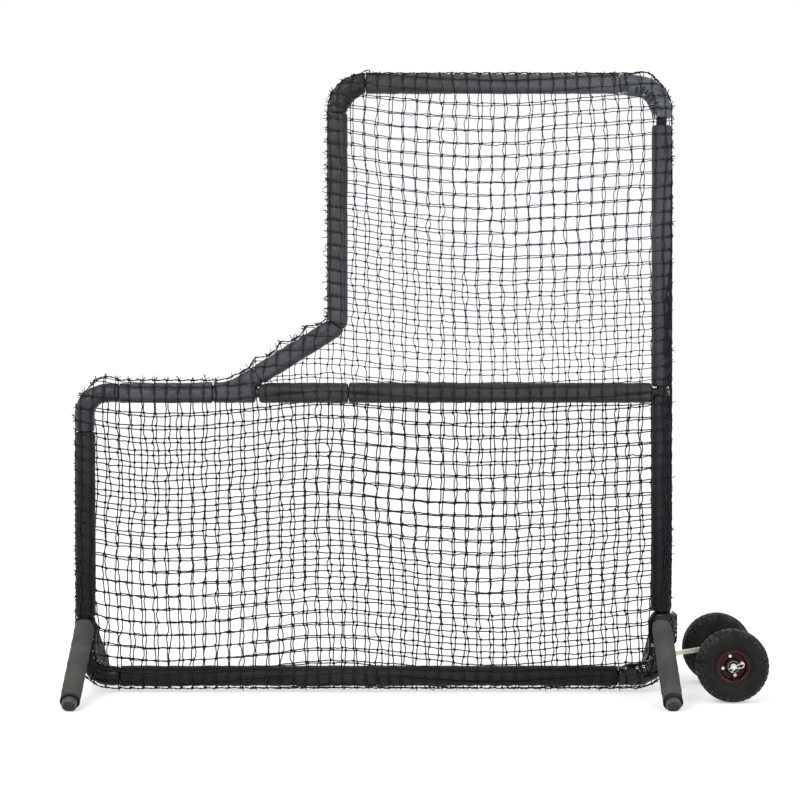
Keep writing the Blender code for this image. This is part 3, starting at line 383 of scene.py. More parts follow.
class Finish:
    # a material being put together: a Principled BSDF and the nodes that feed it
    def __init__(self, name, colour, roughness, **sockets):
        self.material = bpy.data.materials.new(name)
        self.material.use_nodes = True
        self.tree = self.material.node_tree
        self.shader = self.tree.nodes["Principled BSDF"]
        self.shader.inputs["Base Color"].default_value = (*colour, 1)
        self.shader.inputs["Roughness"].default_value = roughness
        for label, value in sockets.items():
            self.shader.inputs[label].default_value = value
        self.place = self.tree.nodes.new("ShaderNodeTexCoord")
        self.normal = None

    def mask(self, group, scale, source="Object"):
        node = self.tree.nodes.new("ShaderNodeGroup")
        node.node_tree = group
        node.inputs["Scale"].default_value = scale
        self.tree.links.new(self.place.outputs[source], node.inputs["Vector"])
        return node.outputs[0]

    def away(self, axis, centre, reach):
        # 0 at a place on one axis, 1 at reach metres from it
        parts = self.tree.nodes.new("ShaderNodeSeparateXYZ")
        less, size = mathNode(self.tree, "SUBTRACT"), mathNode(self.tree, "ABSOLUTE")
        less.inputs[1].default_value = centre
        spread = self.tree.nodes.new("ShaderNodeMapRange")
        spread.inputs["From Max"].default_value = reach
        self.tree.links.new(self.place.outputs["Object"], parts.inputs[0])
        self.tree.links.new(parts.outputs[axis], less.inputs[0])
        self.tree.links.new(less.outputs[0], size.inputs[0])
        self.tree.links.new(size.outputs[0], spread.inputs["Value"])
        return spread.outputs["Result"]

    def attribute(self, name):
        node = self.tree.nodes.new("ShaderNodeAttribute")
        node.attribute_name = name
        return node.outputs["Fac"]

    def tint(self, mask, colour, amount=1.0):
        # mixes another colour in where the mask is bright
        mix = self.tree.nodes.new("ShaderNodeMix")
        mix.data_type = "RGBA"
        mix.clamp_factor = True
        scale = mathNode(self.tree, "MULTIPLY")
        scale.inputs[1].default_value = amount
        self.tree.links.new(mask, scale.inputs[0])
        self.tree.links.new(scale.outputs[0], mix.inputs["Factor"])
        socket = self.shader.inputs["Base Color"]
        if socket.is_linked:
            self.tree.links.new(socket.links[0].from_socket, mix.inputs["A"])
        else:
            mix.inputs["A"].default_value = socket.default_value
        mix.inputs["B"].default_value = (*colour, 1)
        self.tree.links.new(mix.outputs["Result"], socket)
        return self

    def rough(self, mask, low, high):
        spread = self.tree.nodes.new("ShaderNodeMapRange")
        spread.inputs["To Min"].default_value, spread.inputs["To Max"].default_value = low, high
        self.tree.links.new(mask, spread.inputs["Value"])
        self.tree.links.new(spread.outputs["Result"], self.shader.inputs["Roughness"])
        return self

    def bump(self, height, distance, strength=1.0):
        node = self.tree.nodes.new("ShaderNodeBump")
        node.inputs["Distance"].default_value = distance
        node.inputs["Strength"].default_value = strength
        self.tree.links.new(height, node.inputs["Height"])
        if self.normal:
            self.tree.links.new(self.normal, node.inputs["Normal"])
        self.normal = node.outputs["Normal"]
        self.tree.links.new(self.normal, self.shader.inputs["Normal"])
        return self


def vinylFinish(name, colour, dusty, roughness=0.5, grain=900, coat=0.05, shine=0.35, soft=0.25, fade=None):
    # matte to glossy vinyl with dusty patches and specks; fade gives the axis, the place where the colour is
    # whole, and the reach past which it has become the last colour
    gloss = {"Coat Weight": coat, "Coat Roughness": soft, "Specular IOR Level": shine}
    made = Finish(name, colour, roughness, **gloss)
    made.tint(made.mask(patchMask, 9), dusty, 0.55)
    made.tint(made.mask(speckMask, 60), [min(1, c * 1.7) for c in dusty], 0.25)
    if fade:
        made.tint(made.away(*fade[:3]), fade[3])
    made.tint(made.attribute("press"), [c * 0.25 for c in colour], 0.75)  # painted shade with some dirt: darker in the furrows under the net, at the covers' joins and in the folds
    made.rough(made.mask(patchMask, 22), roughness - 0.08, roughness + 0.1)
    made.bump(made.mask(patchMask, 26), 0.0016, 0.5).bump(made.mask(vinylGrain, grain), 0.0002, 0.6)
    return made.material


def metalFinish(name, colour, stain, roughness, metallic=1.0, scratch=240, **sockets):
    made = Finish(name, colour, roughness, Metallic=metallic, **sockets)
    made.tint(made.mask(patchMask, 40), stain, 0.6)
    made.rough(made.mask(patchMask, 90), roughness - 0.07, roughness + 0.14)
    made.bump(made.mask(patchMask, scratch), 0.00012, 0.5)
    return made.material


padVinyl = vinylFinish("padVinyl", (0.036, 0.039, 0.045), (0.060, 0.064, 0.071))
topRailVinyl = vinylFinish("topRailVinyl", (0.066, 0.071, 0.080), (0.094, 0.101, 0.112),
                           fade=("X", fromPixels(645), 1.02, (0.019, 0.020, 0.021)))
rightPostVinyl = vinylFinish("rightPostVinyl", (0.042, 0.045, 0.051), (0.066, 0.070, 0.077),
                             fade=("Z", fromPixels(0, 218)[1], 0.66, (0.012, 0.0125, 0.0135)))
windowPostVinyl = vinylFinish("windowPostVinyl", (0.035, 0.037, 0.042), (0.058, 0.061, 0.066),
                              fade=("Z", fromPixels(0, 305)[1], 0.76, (0.017, 0.0175, 0.0185)))
crossbarVinyl = vinylFinish("crossbarVinyl", (0.027, 0.0275, 0.029), (0.042, 0.0425, 0.044),
                            roughness=0.52, coat=0.03, shine=0.25)
lowerPostVinyl = vinylFinish("lowerPostVinyl", (0.022, 0.0225, 0.024), (0.035, 0.0355, 0.038),
                             coat=0.03, shine=0.15, fade=("Z", 1.08, 0.80, (0.0022, 0.0022, 0.0026)))
bottomRailVinyl = vinylFinish("bottomRailVinyl", (0.0150, 0.0152, 0.0160), (0.026, 0.0265, 0.028),
                              coat=0.03, shine=0.15,
                              fade=("X", fromPixels(362), 0.96, (0.0036, 0.0036, 0.0042)))
cornerVinyl = vinylFinish("cornerVinyl", (0.0042, 0.0042, 0.0055), (0.0085, 0.0085, 0.0105),
                          roughness=0.27, grain=600, coat=0.12, shine=0.10)
domeVinyl = vinylFinish("domeVinyl", (0.0016, 0.0016, 0.0026), (0.0040, 0.0040, 0.0052),
                        roughness=0.18, grain=600, coat=0.60, shine=0.04, soft=0.08)
paleCornerVinyl = vinylFinish("paleCornerVinyl", (0.046, 0.055, 0.066), (0.085, 0.099, 0.114),
                              roughness=0.34, grain=600, coat=0.25)
darkCornerVinyl = vinylFinish("darkCornerVinyl", (0.013, 0.013, 0.0135), (0.023, 0.023, 0.0245),
                              roughness=0.38, grain=600, coat=0.12, shine=0.2)
shoulderVinyl = vinylFinish("shoulderVinyl", (0.019, 0.021, 0.025), (0.034, 0.037, 0.042),
                            roughness=0.38, grain=600, coat=0.15, shine=0.25)

foam = Finish("legFoam", (0.062, 0.064, 0.062), 0.92, **{"Specular IOR Level": 0.25})
foam.tint(foam.mask(patchMask, 14), (0.092, 0.091, 0.082), 0.7)
foam.tint(foam.mask(speckMask, 420), (0.05, 0.05, 0.048), 0.5)
foam.bump(foam.mask(speckMask, 900), 0.0003, 0.5).bump(foam.mask(patchMask, 30), 0.0012, 0.4)
legFoam = foam.material

soleRubber = vinylFinish("soleRubber", (0.022, 0.022, 0.022), (0.040, 0.040, 0.039),
                         roughness=0.65, grain=500, coat=0.0, shine=0.3)
rubber = Finish("capRubber", (0.060, 0.060, 0.059), 0.6)
rubber.tint(rubber.mask(patchMask, 70), (0.105, 0.105, 0.10), 0.6)
rubber.rough(rubber.mask(patchMask, 120), 0.5, 0.75).bump(rubber.mask(patchMask, 500), 0.0002, 0.4)
capRubber = rubber.material
# near-black rubber for the bearing seals; on the leg tips it is painted shade in the sleeves' open ends
blackRubberAndShade = vinylFinish("blackRubberAndShade", (0.004, 0.004, 0.004), (0.009, 0.009, 0.009),
                           roughness=0.6, grain=500, coat=0.0)

padTwineColour = (0.014, 0.014, 0.018)  # twine that lies on a pad: grey, less blue than the rest


def twineFinish(name, colour, lit, faded):
    twine = Finish(name, colour, 0.62, **{"Specular IOR Level": 0.2})
    twist = twine.tree.nodes.new("ShaderNodeGroup")
    twist.node_tree = twineTwist
    twist.inputs["Turns"].default_value, twist.inputs["Slant"].default_value = 1400.0, 2000.0
    twine.tree.links.new(twine.place.outputs["UV"], twist.inputs["Vector"])
    twine.tint(twist.outputs["Height"], lit, 0.6).bump(twist.outputs["Height"], 0.0004, 0.8)
    twine.tint(twine.mask(patchMask, 7), faded, 0.4)
    twine.tint(twine.attribute("press"), padTwineColour, 0.85)
    return twine.material


netTwine = twineFinish("netTwine", (0.006, 0.0058, 0.012), (0.013, 0.0125, 0.024), (0.014, 0.014, 0.022))
fadedTwine = twineFinish("fadedTwine", (0.016, 0.015, 0.050), (0.030, 0.028, 0.080), (0.028, 0.027, 0.060))

tread = Finish("tyreRubber", (0.0070, 0.0066, 0.0064), 0.52, **{"Specular IOR Level": 0.16})
tread.tint(tread.mask(patchMask, 30), (0.013, 0.0125, 0.0115), 0.7)
tread.tint(tread.mask(speckMask, 160), (0.022, 0.021, 0.020), 0.3)
# painted highlight along the lug edges and tops, with dust on the tops
tread.tint(tread.attribute("lugSheenAndDust"), (0.080, 0.079, 0.076), 0.8)
tread.rough(tread.mask(patchMask, 60), 0.42, 0.70).bump(tread.mask(patchMask, 700), 0.0002, 0.5)
tyreRubber = tread.material

rimPaint = metalFinish("rimPaint", (0.037, 0.0055, 0.0080), (0.022, 0.0048, 0.0060), 0.34, 0.0, 300,
                       **{"Coat Weight": 0.12, "Coat Roughness": 0.2, "Specular IOR Level": 0.14})
hubSteel = metalFinish("hubSteel", (0.30, 0.30, 0.30), (0.16, 0.155, 0.15), 0.34)
whiteWire = metalFinish("whiteWire", (0.78, 0.77, 0.73), (0.60, 0.58, 0.53), 0.45, 0.0)
zinc = metalFinish("zinc", (0.66, 0.65, 0.60), (0.52, 0.51, 0.47), 0.30)
paleZinc = metalFinish("paleZinc", (0.86, 0.83, 0.73), (0.76, 0.73, 0.63), 0.42)
blackSteel = metalFinish("blackSteel", (0.012, 0.012, 0.013), (0.028, 0.026, 0.025), 0.42, 0.2, 200)
eyeletNickel = metalFinish("eyeletNickel", (0.74, 0.73, 0.70), (0.55, 0.53, 0.48), 0.26)
print("finishes made:", len(bpy.data.materials))


# the net's lattice, in the flat sheet before it turns round the pads: u runs right and v runs up

net = {
    "pitch": 0.0445, "rise": 0.0458,
    "twine": {"upper": 0.00148, "lower": 0.00205},
    "knot": {"upper": 0.00130, "lower": 0.00150}, "knotTwine": {"upper": 0.00160, "lower": 0.00205},
    "finish": {"upper": fadedTwine, "lower": netTwine},
    "strandSides": 6, "knotStations": 12, "knotSides": 4,
    "reach": 0.0350,  # from a pad's centre line to the twine that lies on it
    "front": {"side": -1, "u": fromPixels(365.9), "v": fromPixels(0, 102.7)[1], "seed": 3},
    "back": {"side": 1, "u": fromPixels(365.9), "v": fromPixels(0, 102.7)[1], "seed": 11},
}
rowSag = {  # how far the rows hang below level, in pixels, at places across the photograph
    "lower": {-60: -9, 60: -5, 85: -1, 110: 4, 150: 8, 190: 7, 230: 4, 270: -1, 310: -5, 330: -5.2, 350: -4.5,
              390: -1, 430: 2, 470: 3.5, 510: 3.5, 550: 2, 590: 0, 630: -3, 660: -6, 690: -9, 760: -12},
    "upper": {300: -14, 330: -11, 350: -8, 390: -2.5, 430: 1, 470: 3, 510: 3.5, 550: 2, 590: 0, 630: -3,
              660: -6, 690: -9, 760: -12},
}
layersApart = {  # how many meshes the rear layer seems to lie from the front one, at places in the photograph
    "eye": {"x": -0.014, "z": 1.42, "away": 7.2},
    "x": [90, 190, 290, 390, 480, 570, 660],
    "across": {80: [.2, .2, .2, .3, .3, .2, .3], 140: [.2, .2, .2, .15, .2, .15, .25],
               190: [.3, .3, .35, .15, .1, .15, .3], 240: [.4, .4, .5, .3, .1, .15, .3],
               290: [.3, .3, .3, .4, .15, .3, .3], 340: [.4, .4, .5, .3, .2, .4, .4],
               400: [.25, .3, .5, .15, .4, .4, .3], 455: [.3, .5, .35, .1, .4, .35, .1],
               500: [.5, .2, .1, .05, .2, .3, .2], 540: [.2, .05, .3, .1, .3, .4, .35],
               590: [.25, .2, .2, .3, .05, .1, .3], 640: [.35, .3, .2, .4, .4, .35, .35]},
    "up": {80: [.2, .2, .2, .15, .2, .3, .3], 140: [.2, .2, .2, .1, .1, .25, .2],
           190: [.3, .3, .4, .2, .05, .1, .2], 240: [.4, .4, .5, .4, .2, .05, .15],
           290: [.4, .4, .5, .55, .4, .3, .3], 340: [.5, .5, .6, .6, .55, .5, .45],
           400: [.2, .2, .25, .1, .3, .4, .15], 455: [.35, .4, .4, .1, .25, .4, .1],
           500: [.5, .5, .3, .05, .05, .3, .2], 540: [.7, .7, .45, .2, .1, .45, .5],
           590: [1.0, 1.0, .6, .55, .05, .35, .8], 640: [1.0, 1.05, .9, .7, .4, .6, .95]},
}


def smoothTable(rows):  # places and falls in pixels, as a smooth line of rises in metres
    places = [fromPixels(x) for x in rows]
    fine = np.linspace(places[0], places[-1], 900)
    rise = np.interp(fine, places, -np.array(list(rows.values())) * pixel)
    window = np.hanning(61)
    return fine, np.convolve(np.pad(rise, 30, "edge"), window / window.sum(), "valid")


lowerSag, upperSag = smoothTable(rowSag["lower"]), smoothTable(rowSag["upper"])


def fromTable(u, v, rows):  # a value between the table's places, straight from one to the next
    places, heights = layersApart["x"], list(rows)
    x = np.clip((u - frameMiddle) / pixel + photo["column"], places[0], places[-1])
    y = np.clip(photo["row"] - v / pixel, heights[0], heights[-1])
    column = np.interp(x, places, np.arange(len(places)))
    row = np.interp(y, heights, np.arange(len(heights)))
    i, j = np.minimum(row.astype(int), len(heights) - 2), np.minimum(column.astype(int), len(places) - 2)
    a, b = row - i, column - j
    table = np.array(list(rows.values()))
    above = (1 - b) * table[i, j] + b * table[i, j + 1]
    below = (1 - b) * table[i + 1, j] + b * table[i + 1, j + 1]
    return (1 - a) * above + a * below


def latticeDrift(u, v, layer):
    # how far a knot is pulled from its place in a square lattice: slow bends that the layers share, what
    # parts them, small bends of each and the long waves of the rows
    seed = layer["seed"]
    du = 0.0050 * waves(u, v, 3, 0.35, 1.1) + 0.0018 * waves(u, v, seed + 1, 0.10, 0.26)
    dv = 0.0036 * waves(u, v, 5, 0.45, 1.2) + 0.0011 * waves(u, v, seed + 3, 0.10, 0.26)
    if layer["side"] > 0:  # as seen from the front, where the rear layer looks drawn in towards the eye
        eye = layersApart["eye"]
        drawn = 2 * net["reach"] / eye["away"]
        du = du + net["pitch"] * 0.8 * fromTable(u, v, layersApart["across"]) - drawn * (eye["x"] - u)
        dv = dv + net["rise"] * fromTable(u, v, layersApart["up"]) - drawn * (eye["z"] - v)
    high = smoothStep(v, railZ - 0.10, railZ + 0.35)
    return du, dv + np.interp(u, *lowerSag) * (1 - high) + np.interp(u, *upperSag) * high


def strandDistance(u, v, layer):  # from a place on the sheet to the nearest strand
    du, dv = latticeDrift(u, v, layer)
    a = (u - du - layer["u"]) / net["pitch"]
    b = (v - dv - layer["v"]) / net["rise"]
    return np.minimum(np.abs(a - np.round(a)) * net["pitch"], np.abs(b - np.round(b)) * net["rise"])


# pads

straightPads = {
    # node: the end that the sweep starts from, the finish, the angle of the seam past the rear, seed
    "left_post_pad": {"from": "top", "finish": lowerPostVinyl, "seam": 126, "seed": 21},
    "bottom_rail_pad": {"from": "left", "finish": bottomRailVinyl, "seam": 60, "seed": 22},
    "right_post_lower_pad": {"from": "bottom", "finish": lowerPostVinyl, "seam": 60, "seed": 23},
    "right_post_upper_pad": {"from": "bottom", "finish": rightPostVinyl, "seam": 128, "seed": 24},
    "top_rail_pad": {"from": "right", "finish": topRailVinyl, "seam": 122, "seed": 25},
    "upper_left_post_pad": {"from": "top", "finish": windowPostVinyl, "seam": 140, "seed": 26, "elbow": True},
    "shoulder_rail_pad": {"from": "right", "finish": padVinyl, "seam": 60, "seed": 27},
    "crossbar_long_pad": {"from": "left", "finish": crossbarVinyl, "seam": -60, "seed": 28},
    "crossbar_short_pad": {"from": "left", "finish": crossbarVinyl, "seam": -60, "seed": 29, "cope": True},
}
padShape = {
    "step": 0.0034, "steps": 64, "rounding": 0.009, "bore": tubeRadius + 0.0006, "elbow": 0.05,
    "groove": 0.0052, "grooveWidth": 0.0090,
}


def hump(x, width):  # 1 at nought, falling away to each side over a width
    return np.exp(-(x / width) ** 2)


def padSkin(theta, s, u, v, side, contact, seed, seam, length, joins=()):
    # a foam pad's radius: the tube's foam and vinyl, slow lumps, cross wrinkles that die away from the ends,
    # the raised edge of the lapped seam, and a groove under each strand of the net;
    # and how deep in a groove each point is, the mask that the vinyl's painted shade follows
    around = theta * padRadius
    lumps = 0.0007 * waves(s, around, seed, 0.05, 0.16) + 0.00035 * waves(s, around, seed + 50, 0.018, 0.05)
    ends = np.exp(-np.minimum(s, length - s) / 0.05)
    wrinkles = 0.0008 * ends * waves(s, around * 0.25, seed + 90, 0.010, 0.03)
    offset = (theta - seam + math.pi) % (2 * math.pi) - math.pi
    lap = 0.0013 * smoothStep(offset, -0.04, 0.04) * (1 - smoothStep(offset, 0.05, 0.75))
    stitch = -0.0007 * hump(offset - 0.17, 0.045)
    dents, press = 0.0, 0.0
    for layer in (net["front"], net["back"]):
        near = strandDistance(u, v, layer)
        reach = contact * smoothStep(side * layer["side"], -0.1, 0.25)
        dents = dents - padShape["groove"] * reach * hump(near, padShape["grooveWidth"])
        press = press + reach * hump(near, 0.0055)
    for place in joins:  # where one length of cover ends and the next begins
        dents = dents - 0.0062 * hump(s - place, 0.0042) + 0.0016 * hump(s - place + 0.014, 0.008)
        press = press + hump(s - place, 0.0034)
    return padRadius + 0.0012 + lumps + wrinkles + lap + stitch + dents, press + 0 * lumps


def padRows(length, startCut, endCut):
    # stations along a pad with its ends rounded over: how far along each ring is and how much it shrinks
    count = max(8, int(length / padShape["step"]))
    t = np.concatenate([np.zeros(5), np.linspace(0, 1, count), np.ones(5)])
    quarter = np.linspace(0, math.pi / 2, 6)[:-1]
    r = padShape["rounding"]
    inset, cut = r * (1 - np.sin(quarter)), r * (1 - np.cos(quarter))
    inset = np.concatenate([inset, np.zeros(count), inset[::-1]])
    back = np.concatenate([cut - r, np.zeros(count), (r - cut)[::-1]])
    begin, end = startCut + r, length - endCut - r
    along = begin + (end - begin) * t[:, None] + back[:, None]
    return along, inset


def padPart(xz, along, s, seed, seam, startCut=0.0, endCut=0.0, wrapped=True, joins=()):
    # a pad carried along a line of tube, its ends cut back by startCut and endCut, which may vary round it;
    # gives the part and how deep in a groove each of its points is
    steps = padShape["steps"]
    theta = fullTurn(steps)
    startCut, endCut = np.broadcast_to(startCut, steps), np.broadcast_to(endCut, steps)
    rowS, inset = padRows(s[-1], startCut, endCut)
    centreX, centreZ = [np.interp(rowS, s, xz[:, k]) for k in (0, 1)]
    alongX, alongZ = [np.interp(rowS, s, along[:, k]) for k in (0, 1)]
    scale = np.hypot(alongX, alongZ)
    riseX, riseZ = -alongZ / scale, alongX / scale
    # each point's place on the flat sheet: the pad's middle line, and outwards by the arc from front or rear
    side = np.cos(theta)[None, :]
    arc = net["reach"] * (math.pi / 2 - np.arccos(np.clip(-np.sin(theta), -1, 1)))[None, :]
    arc = np.where(np.sin(theta) < 0, arc, 0)
    inward = np.sin(theta) if wrapped else np.abs(np.sin(theta))
    contact = (1 - smoothStep(inward, 0.05, 0.35))[None, :]
    u, v = centreX - riseX * arc, centreZ - riseZ * arc
    rho, press = padSkin(theta[None, :], rowS, u, v, side, contact, seed, seam, s[-1], joins)
    rho = np.minimum(rho, np.maximum(rho - inset[:, None], padShape["bore"] + 0.004))
    out, deep = rho * np.sin(theta), rho * np.cos(theta)
    outer = np.stack([centreX + riseX * out, deep + 0 * out, centreZ + riseZ * out], -1)
    ends = []
    for k in (0, -1):
        for share in (0.45, 1.0):
            bore = rho[k] * (1 - share) + padShape["bore"] * share
            hollow = (0.0035 if share == 1.0 else 0.0010) * (1 if k == 0 else -1)
            x = centreX[k] + alongX[k] * hollow + riseX[k] * bore * np.sin(theta)
            z = centreZ[k] + alongZ[k] * hollow + riseZ[k] * bore * np.sin(theta)
            ends.append(np.stack([x, bore * np.cos(theta), z], -1))
    rings = np.concatenate([ends[1][None], ends[0][None], outer, ends[2][None], ends[3][None]])
    first, last = rings[0], rings[-1]
    inner = last + (first - last) * np.linspace(0, 1, 12)[1:-1, None, None]
    if np.abs(along[0] - along[-1]).max() > 0.01:  # a bent pad's bore follows the bend
        inner = sweepRings(xz[::-4][1:-1], along[::-4][1:-1], padShape["bore"], theta)
    rings = np.concatenate([rings, inner])
    before = [rowS.min() - 0.03, rowS.min() - 0.015]
    after = rowS.max() + 0.03 + np.arange(len(inner)) * 0.1
    u = np.concatenate([before, rowS.mean(1), np.full(2, rowS.max() + 0.02), after])
    offset = ((theta - seam) % (2 * math.pi)) * padRadius
    start = int(np.argmin(offset))
    rings = np.roll(rings, -start, axis=1)
    press = np.concatenate([np.zeros((2, steps)), press, np.zeros((len(rings) - len(press) - 2, steps))])
    part = facingOut(gridPart(rings, wrapRows=True, u=u, v=np.sort(offset)))
    return part, np.roll(press, -start, axis=1).ravel()


def pointMask(piece, name, values):
    layer = piece.data.attributes.new(name, "FLOAT", "POINT")
    layer.data.foreach_set("value", np.clip(values, 0, 1).astype(np.float32).ravel())


def padLine(node, start):
    low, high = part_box(node)
    x, z = (low[0] + high[0]) / 2, (low[2] + high[2]) / 2
    ends = {"left": (low[0], z), "right": (high[0], z), "bottom": (x, low[2]), "top": (x, high[2])}
    other = {"left": "right", "right": "left", "bottom": "top", "top": "bottom"}[start]
    return roundedPath([ends[start], ends[other]], [], 0.02)


def makeStraightPads():
    for node, look in straightPads.items():
        xz, along, s = padLine(node, look["from"])
        theta = fullTurn(padShape["steps"])
        if look.get("elbow"):  # its foot turns towards the slope and meets the sloping pad half way round
            xz, along, s = elbowLine(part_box(node)[1][2])[0]
        # the short crossbar pad's end is scooped to fit round the sloping pad beside it
        startCut = copeCut(theta, xz[0]) if look.get("cope") else 0.0
        wrapped = "crossbar" not in node
        part, press = padPart(xz, along, s, look["seed"], math.radians(look["seam"]), startCut, 0.0, wrapped)
        piece = makePiece(node + "_skin", [part], look["finish"])
        pointMask(piece, "press", press)
        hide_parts(node)


def copeCut(theta, begin):
    # how far each line of the short crossbar pad starts past its tip, so that it clears the sloping pad
    line, direction, _ = throatLine
    rho = padRadius + 0.001
    y, z = rho * np.cos(theta), begin[1] + rho * np.sin(theta)
    cut = np.zeros(len(theta))
    clear = padRadius + 0.0016
    for k, (h, depth) in enumerate(zip(z, y)):
        if abs(depth) >= clear:
            continue
        half = math.sqrt(clear ** 2 - depth ** 2)
        edge = line + np.stack([-direction[:, 1], direction[:, 0]], -1) * half
        order = np.argsort(edge[:, 1])
        inside = (edge[:, 1].min() <= h) & (h <= edge[:, 1].max())
        if inside:
            cut[k] = max(0.0, float(np.interp(h, edge[order, 1], edge[order, 0])) - begin[0])
    return cut


def elbowLine(top):
    # the line of the window's post and the slope, in two parts that meet in the middle of the elbow
    corners = [(upperX, top), (upperX, mitreZ), (throatX, railZ), (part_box("throat_pad")[0][0], railZ)]
    xz, along, s = roundedPath(corners, [padShape["elbow"], throatRadius], 0.003)
    heading = np.unwrap(np.arctan2(along[:, 1], along[:, 0]))
    half = (math.pi / 2 - slopeAngle) / 2
    k = int(np.argmax(np.abs(heading - heading[0]) >= half))
    return (xz[:k + 1], along[:k + 1], s[:k + 1]), (xz[k:], along[k:], s[k:] - s[k])


throatLine = elbowLine(mitreZ + 0.1)[1]


def makeThroatPad():
    # the bent pad: down the slope and round onto the shoulder; a second length of cover starts where the
    # slope leaves the rail
    xz, along, s = throatLine
    joins = [float(np.interp(-fromPixels(258), -xz[:, 0], s))]
    part, press = padPart(xz, along, s, 31, math.radians(60), joins=joins)
    # under the slope its cover runs on along the crossbar, as far as the short pad
    line = roundedPath([(fromPixels(217), railZ), (fromPixels(255.6), railZ)], [], 0.01)
    tongue, tonguePress = padPart(*line, 32, math.radians(60), wrapped=False)
    piece = makePiece("throat_pad_skin", [part, tongue], padVinyl)
    pointMask(piece, "press", np.concatenate([press, tonguePress]))
    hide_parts("throat_pad")


makeStraightPads()
makeThroatPad()
print("straight pads made")


# corner pads: glossy vinyl wrapped round each bend, its edges brought together and laced on the inner side

cornerShape = {"tip": 0.0455, "half": 0.0070, "step": 0.0034, "steps": 84, "rounding": 0.005}
cornerPads = {
    "lower_left_corner_pad": {"route": [("x", "top"), ("x", "z"), ("right", "z")], "radius": cornerRadius,
                              "finish": cornerVinyl, "seed": 41, "laced": 0.30},
    "lower_right_corner_pad": {"route": [("left", "z"), ("x", "z"), ("x", "top")], "radius": cornerRadius,
                               "finish": domeVinyl, "seed": 42, "endRounding": 0.016},
    "upper_right_corner_pad": {"route": [("x", "bottom"), ("x", "z"), ("left", "z")], "radius": cornerRadius,
                               "finish": paleCornerVinyl, "seed": 43, "folds": 3.0},
    "upper_left_corner_pad": {"route": [("right", "z"), ("x", "z"), ("x", "bottom")], "radius": cornerRadius,
                              "finish": darkCornerVinyl, "seed": 44, "laced": 0.9, "folds": 1.4},
    "shoulder_corner_pad": {"route": [("right", "z"), ("x", "z"), ("x", "bottom")], "radius": shoulderRadius,
                            "finish": shoulderVinyl, "seed": 45, "laced": 0},
}
cornerPlaces = {
    "lower_left_corner_pad": (leftX, bottomZ), "lower_right_corner_pad": (rightX, bottomZ),
    "upper_right_corner_pad": (rightX, topZ), "upper_left_corner_pad": (upperX, topZ),
    "shoulder_corner_pad": (leftX, railZ),
}
eyelets = {  # places in the photograph
    "lower_right_corner_pad": [(651.9, 644.2), (643.2, 665.4), (637, 666.8), (624.8, 667.1)],
    "upper_right_corner_pad": [(650.8, 104), (654, 117), (643, 96)],
}
clips = {  # the wire clips that hold the corner pads shut
    # places in the photograph, radius in mm, where the arc starts and how far it turns
    "lower_right_corner_pad": [
        (650.6, 656.5, 5.0, 20, 290), (648.2, 659.5, 4.4, 120, 230), (646.4, 656.0, 5.4, 200, 200),
        (645.6, 661.0, 4.2, -30, 220), (643.2, 656.2, 4.6, 80, 190), (641.4, 660.0, 3.4, 10, 200)],
    "lower_left_corner_pad": [
        (93.8, 638.8, 3.6, 40, 230), (93.3, 650.8, 4.4, 100, 250), (93.9, 656.7, 3.8, 150, 210),
        (98.0, 660.5, 4.2, 60, 200), (99.8, 662.0, 3.4, 210, 240), (104.2, 664.2, 4.2, 120, 230),
        (117.5, 665.3, 4.4, 140, 240), (121.0, 664.8, 3.4, -20, 180)],
    "upper_right_corner_pad": [
        (622.8, 93.3, 4.6, 190, 260), (625.2, 92.6, 3.2, 20, 170), (655.4, 118.4, 3.6, 60, 200)],
}
eyeletShape = {"radius": 0.0044, "roll": 0.0017, "rise": 0.0013, "hole": 0.0040, "plug": (-0.0015, 0.0002),
               "furthest": 0.0385}
clipShape = {"wire": 0.00075, "stations": 14, "lift": 0.0008, "bow": 0.0022, "furthest": 0.046}
bulge = {"offset": 0.0205, "bottom": 0.158, "top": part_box("lower_right_corner_pad")[1][2]}


def teardrop(theta):
    # the pad's outline in polar form: a circle, and the two straight flanks that run from it to the laced tip
    r, tip, half = padRadius - 0.0006, cornerShape["tip"], cornerShape["half"]
    # from the tip's direction to where a flank starts
    lean = math.atan2(half, tip) + math.acos(r / math.hypot(tip, half))
    point = np.array([tip + 0.0005, 0])
    arc = np.linspace(lean, 2 * math.pi - lean, 160)
    outline = [np.stack([r * np.cos(arc), r * np.sin(arc)], -1)]
    corner = np.array([[tip, -half], [tip, half]])
    ease = np.linspace(0, 1, 9)[:, None]
    flank = outline[0][-1]
    start = corner[0] + (flank - corner[0]) * 0.25
    outline.append((1 - ease) ** 2 * start + 2 * ease * (1 - ease) * corner[0] + ease ** 2 * point)
    start = corner[1] + (outline[0][0] - corner[1]) * 0.25
    outline.append((1 - ease) ** 2 * point + 2 * ease * (1 - ease) * corner[1] + ease ** 2 * start)
    line = np.vstack(outline)
    angle = np.unwrap(np.arctan2(line[:, 1], line[:, 0])) % (2 * math.pi)
    order = np.argsort(angle)
    radius = np.hypot(line[:, 0], line[:, 1])
    return np.interp(theta % (2 * math.pi), angle[order], radius[order], period=2 * math.pi)


def flankHeight(e, laced=1.0):  # half the pad's thickness at e metres in from the tube's centre line
    theta = np.linspace(0, math.pi / 2, 200)
    rho = padRadius + (teardrop(theta) - padRadius) * laced
    return float(np.interp(-e, -(rho * np.cos(theta)), rho * np.sin(theta)))


def creases(a, b, seed, low, high, count=7):
    # folds with sharp crests: sums of triangle waves in scattered directions, about 0 to 1
    rng = np.random.default_rng(seed)
    total = 0.0
    for _ in range(count):
        length, turn, phase = rng.uniform(low, high), rng.uniform(0, math.pi), rng.uniform(0, 1)
        wave = (a * math.cos(turn) + b * math.sin(turn)) / length + phase
        total = total + np.abs(wave % 1 * 2 - 1)
    return total / count


def cornerRoute(node):
    low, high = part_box(node)
    x, z = cornerPlaces[node]
    places = {"x": x, "z": z, "left": low[0], "right": high[0], "top": high[2], "bottom": low[2]}
    shape = cornerPads[node]
    corners = [(places[a], places[b]) for a, b in shape["route"]]
    return roundedPath(corners, [shape["radius"]], cornerShape["step"])


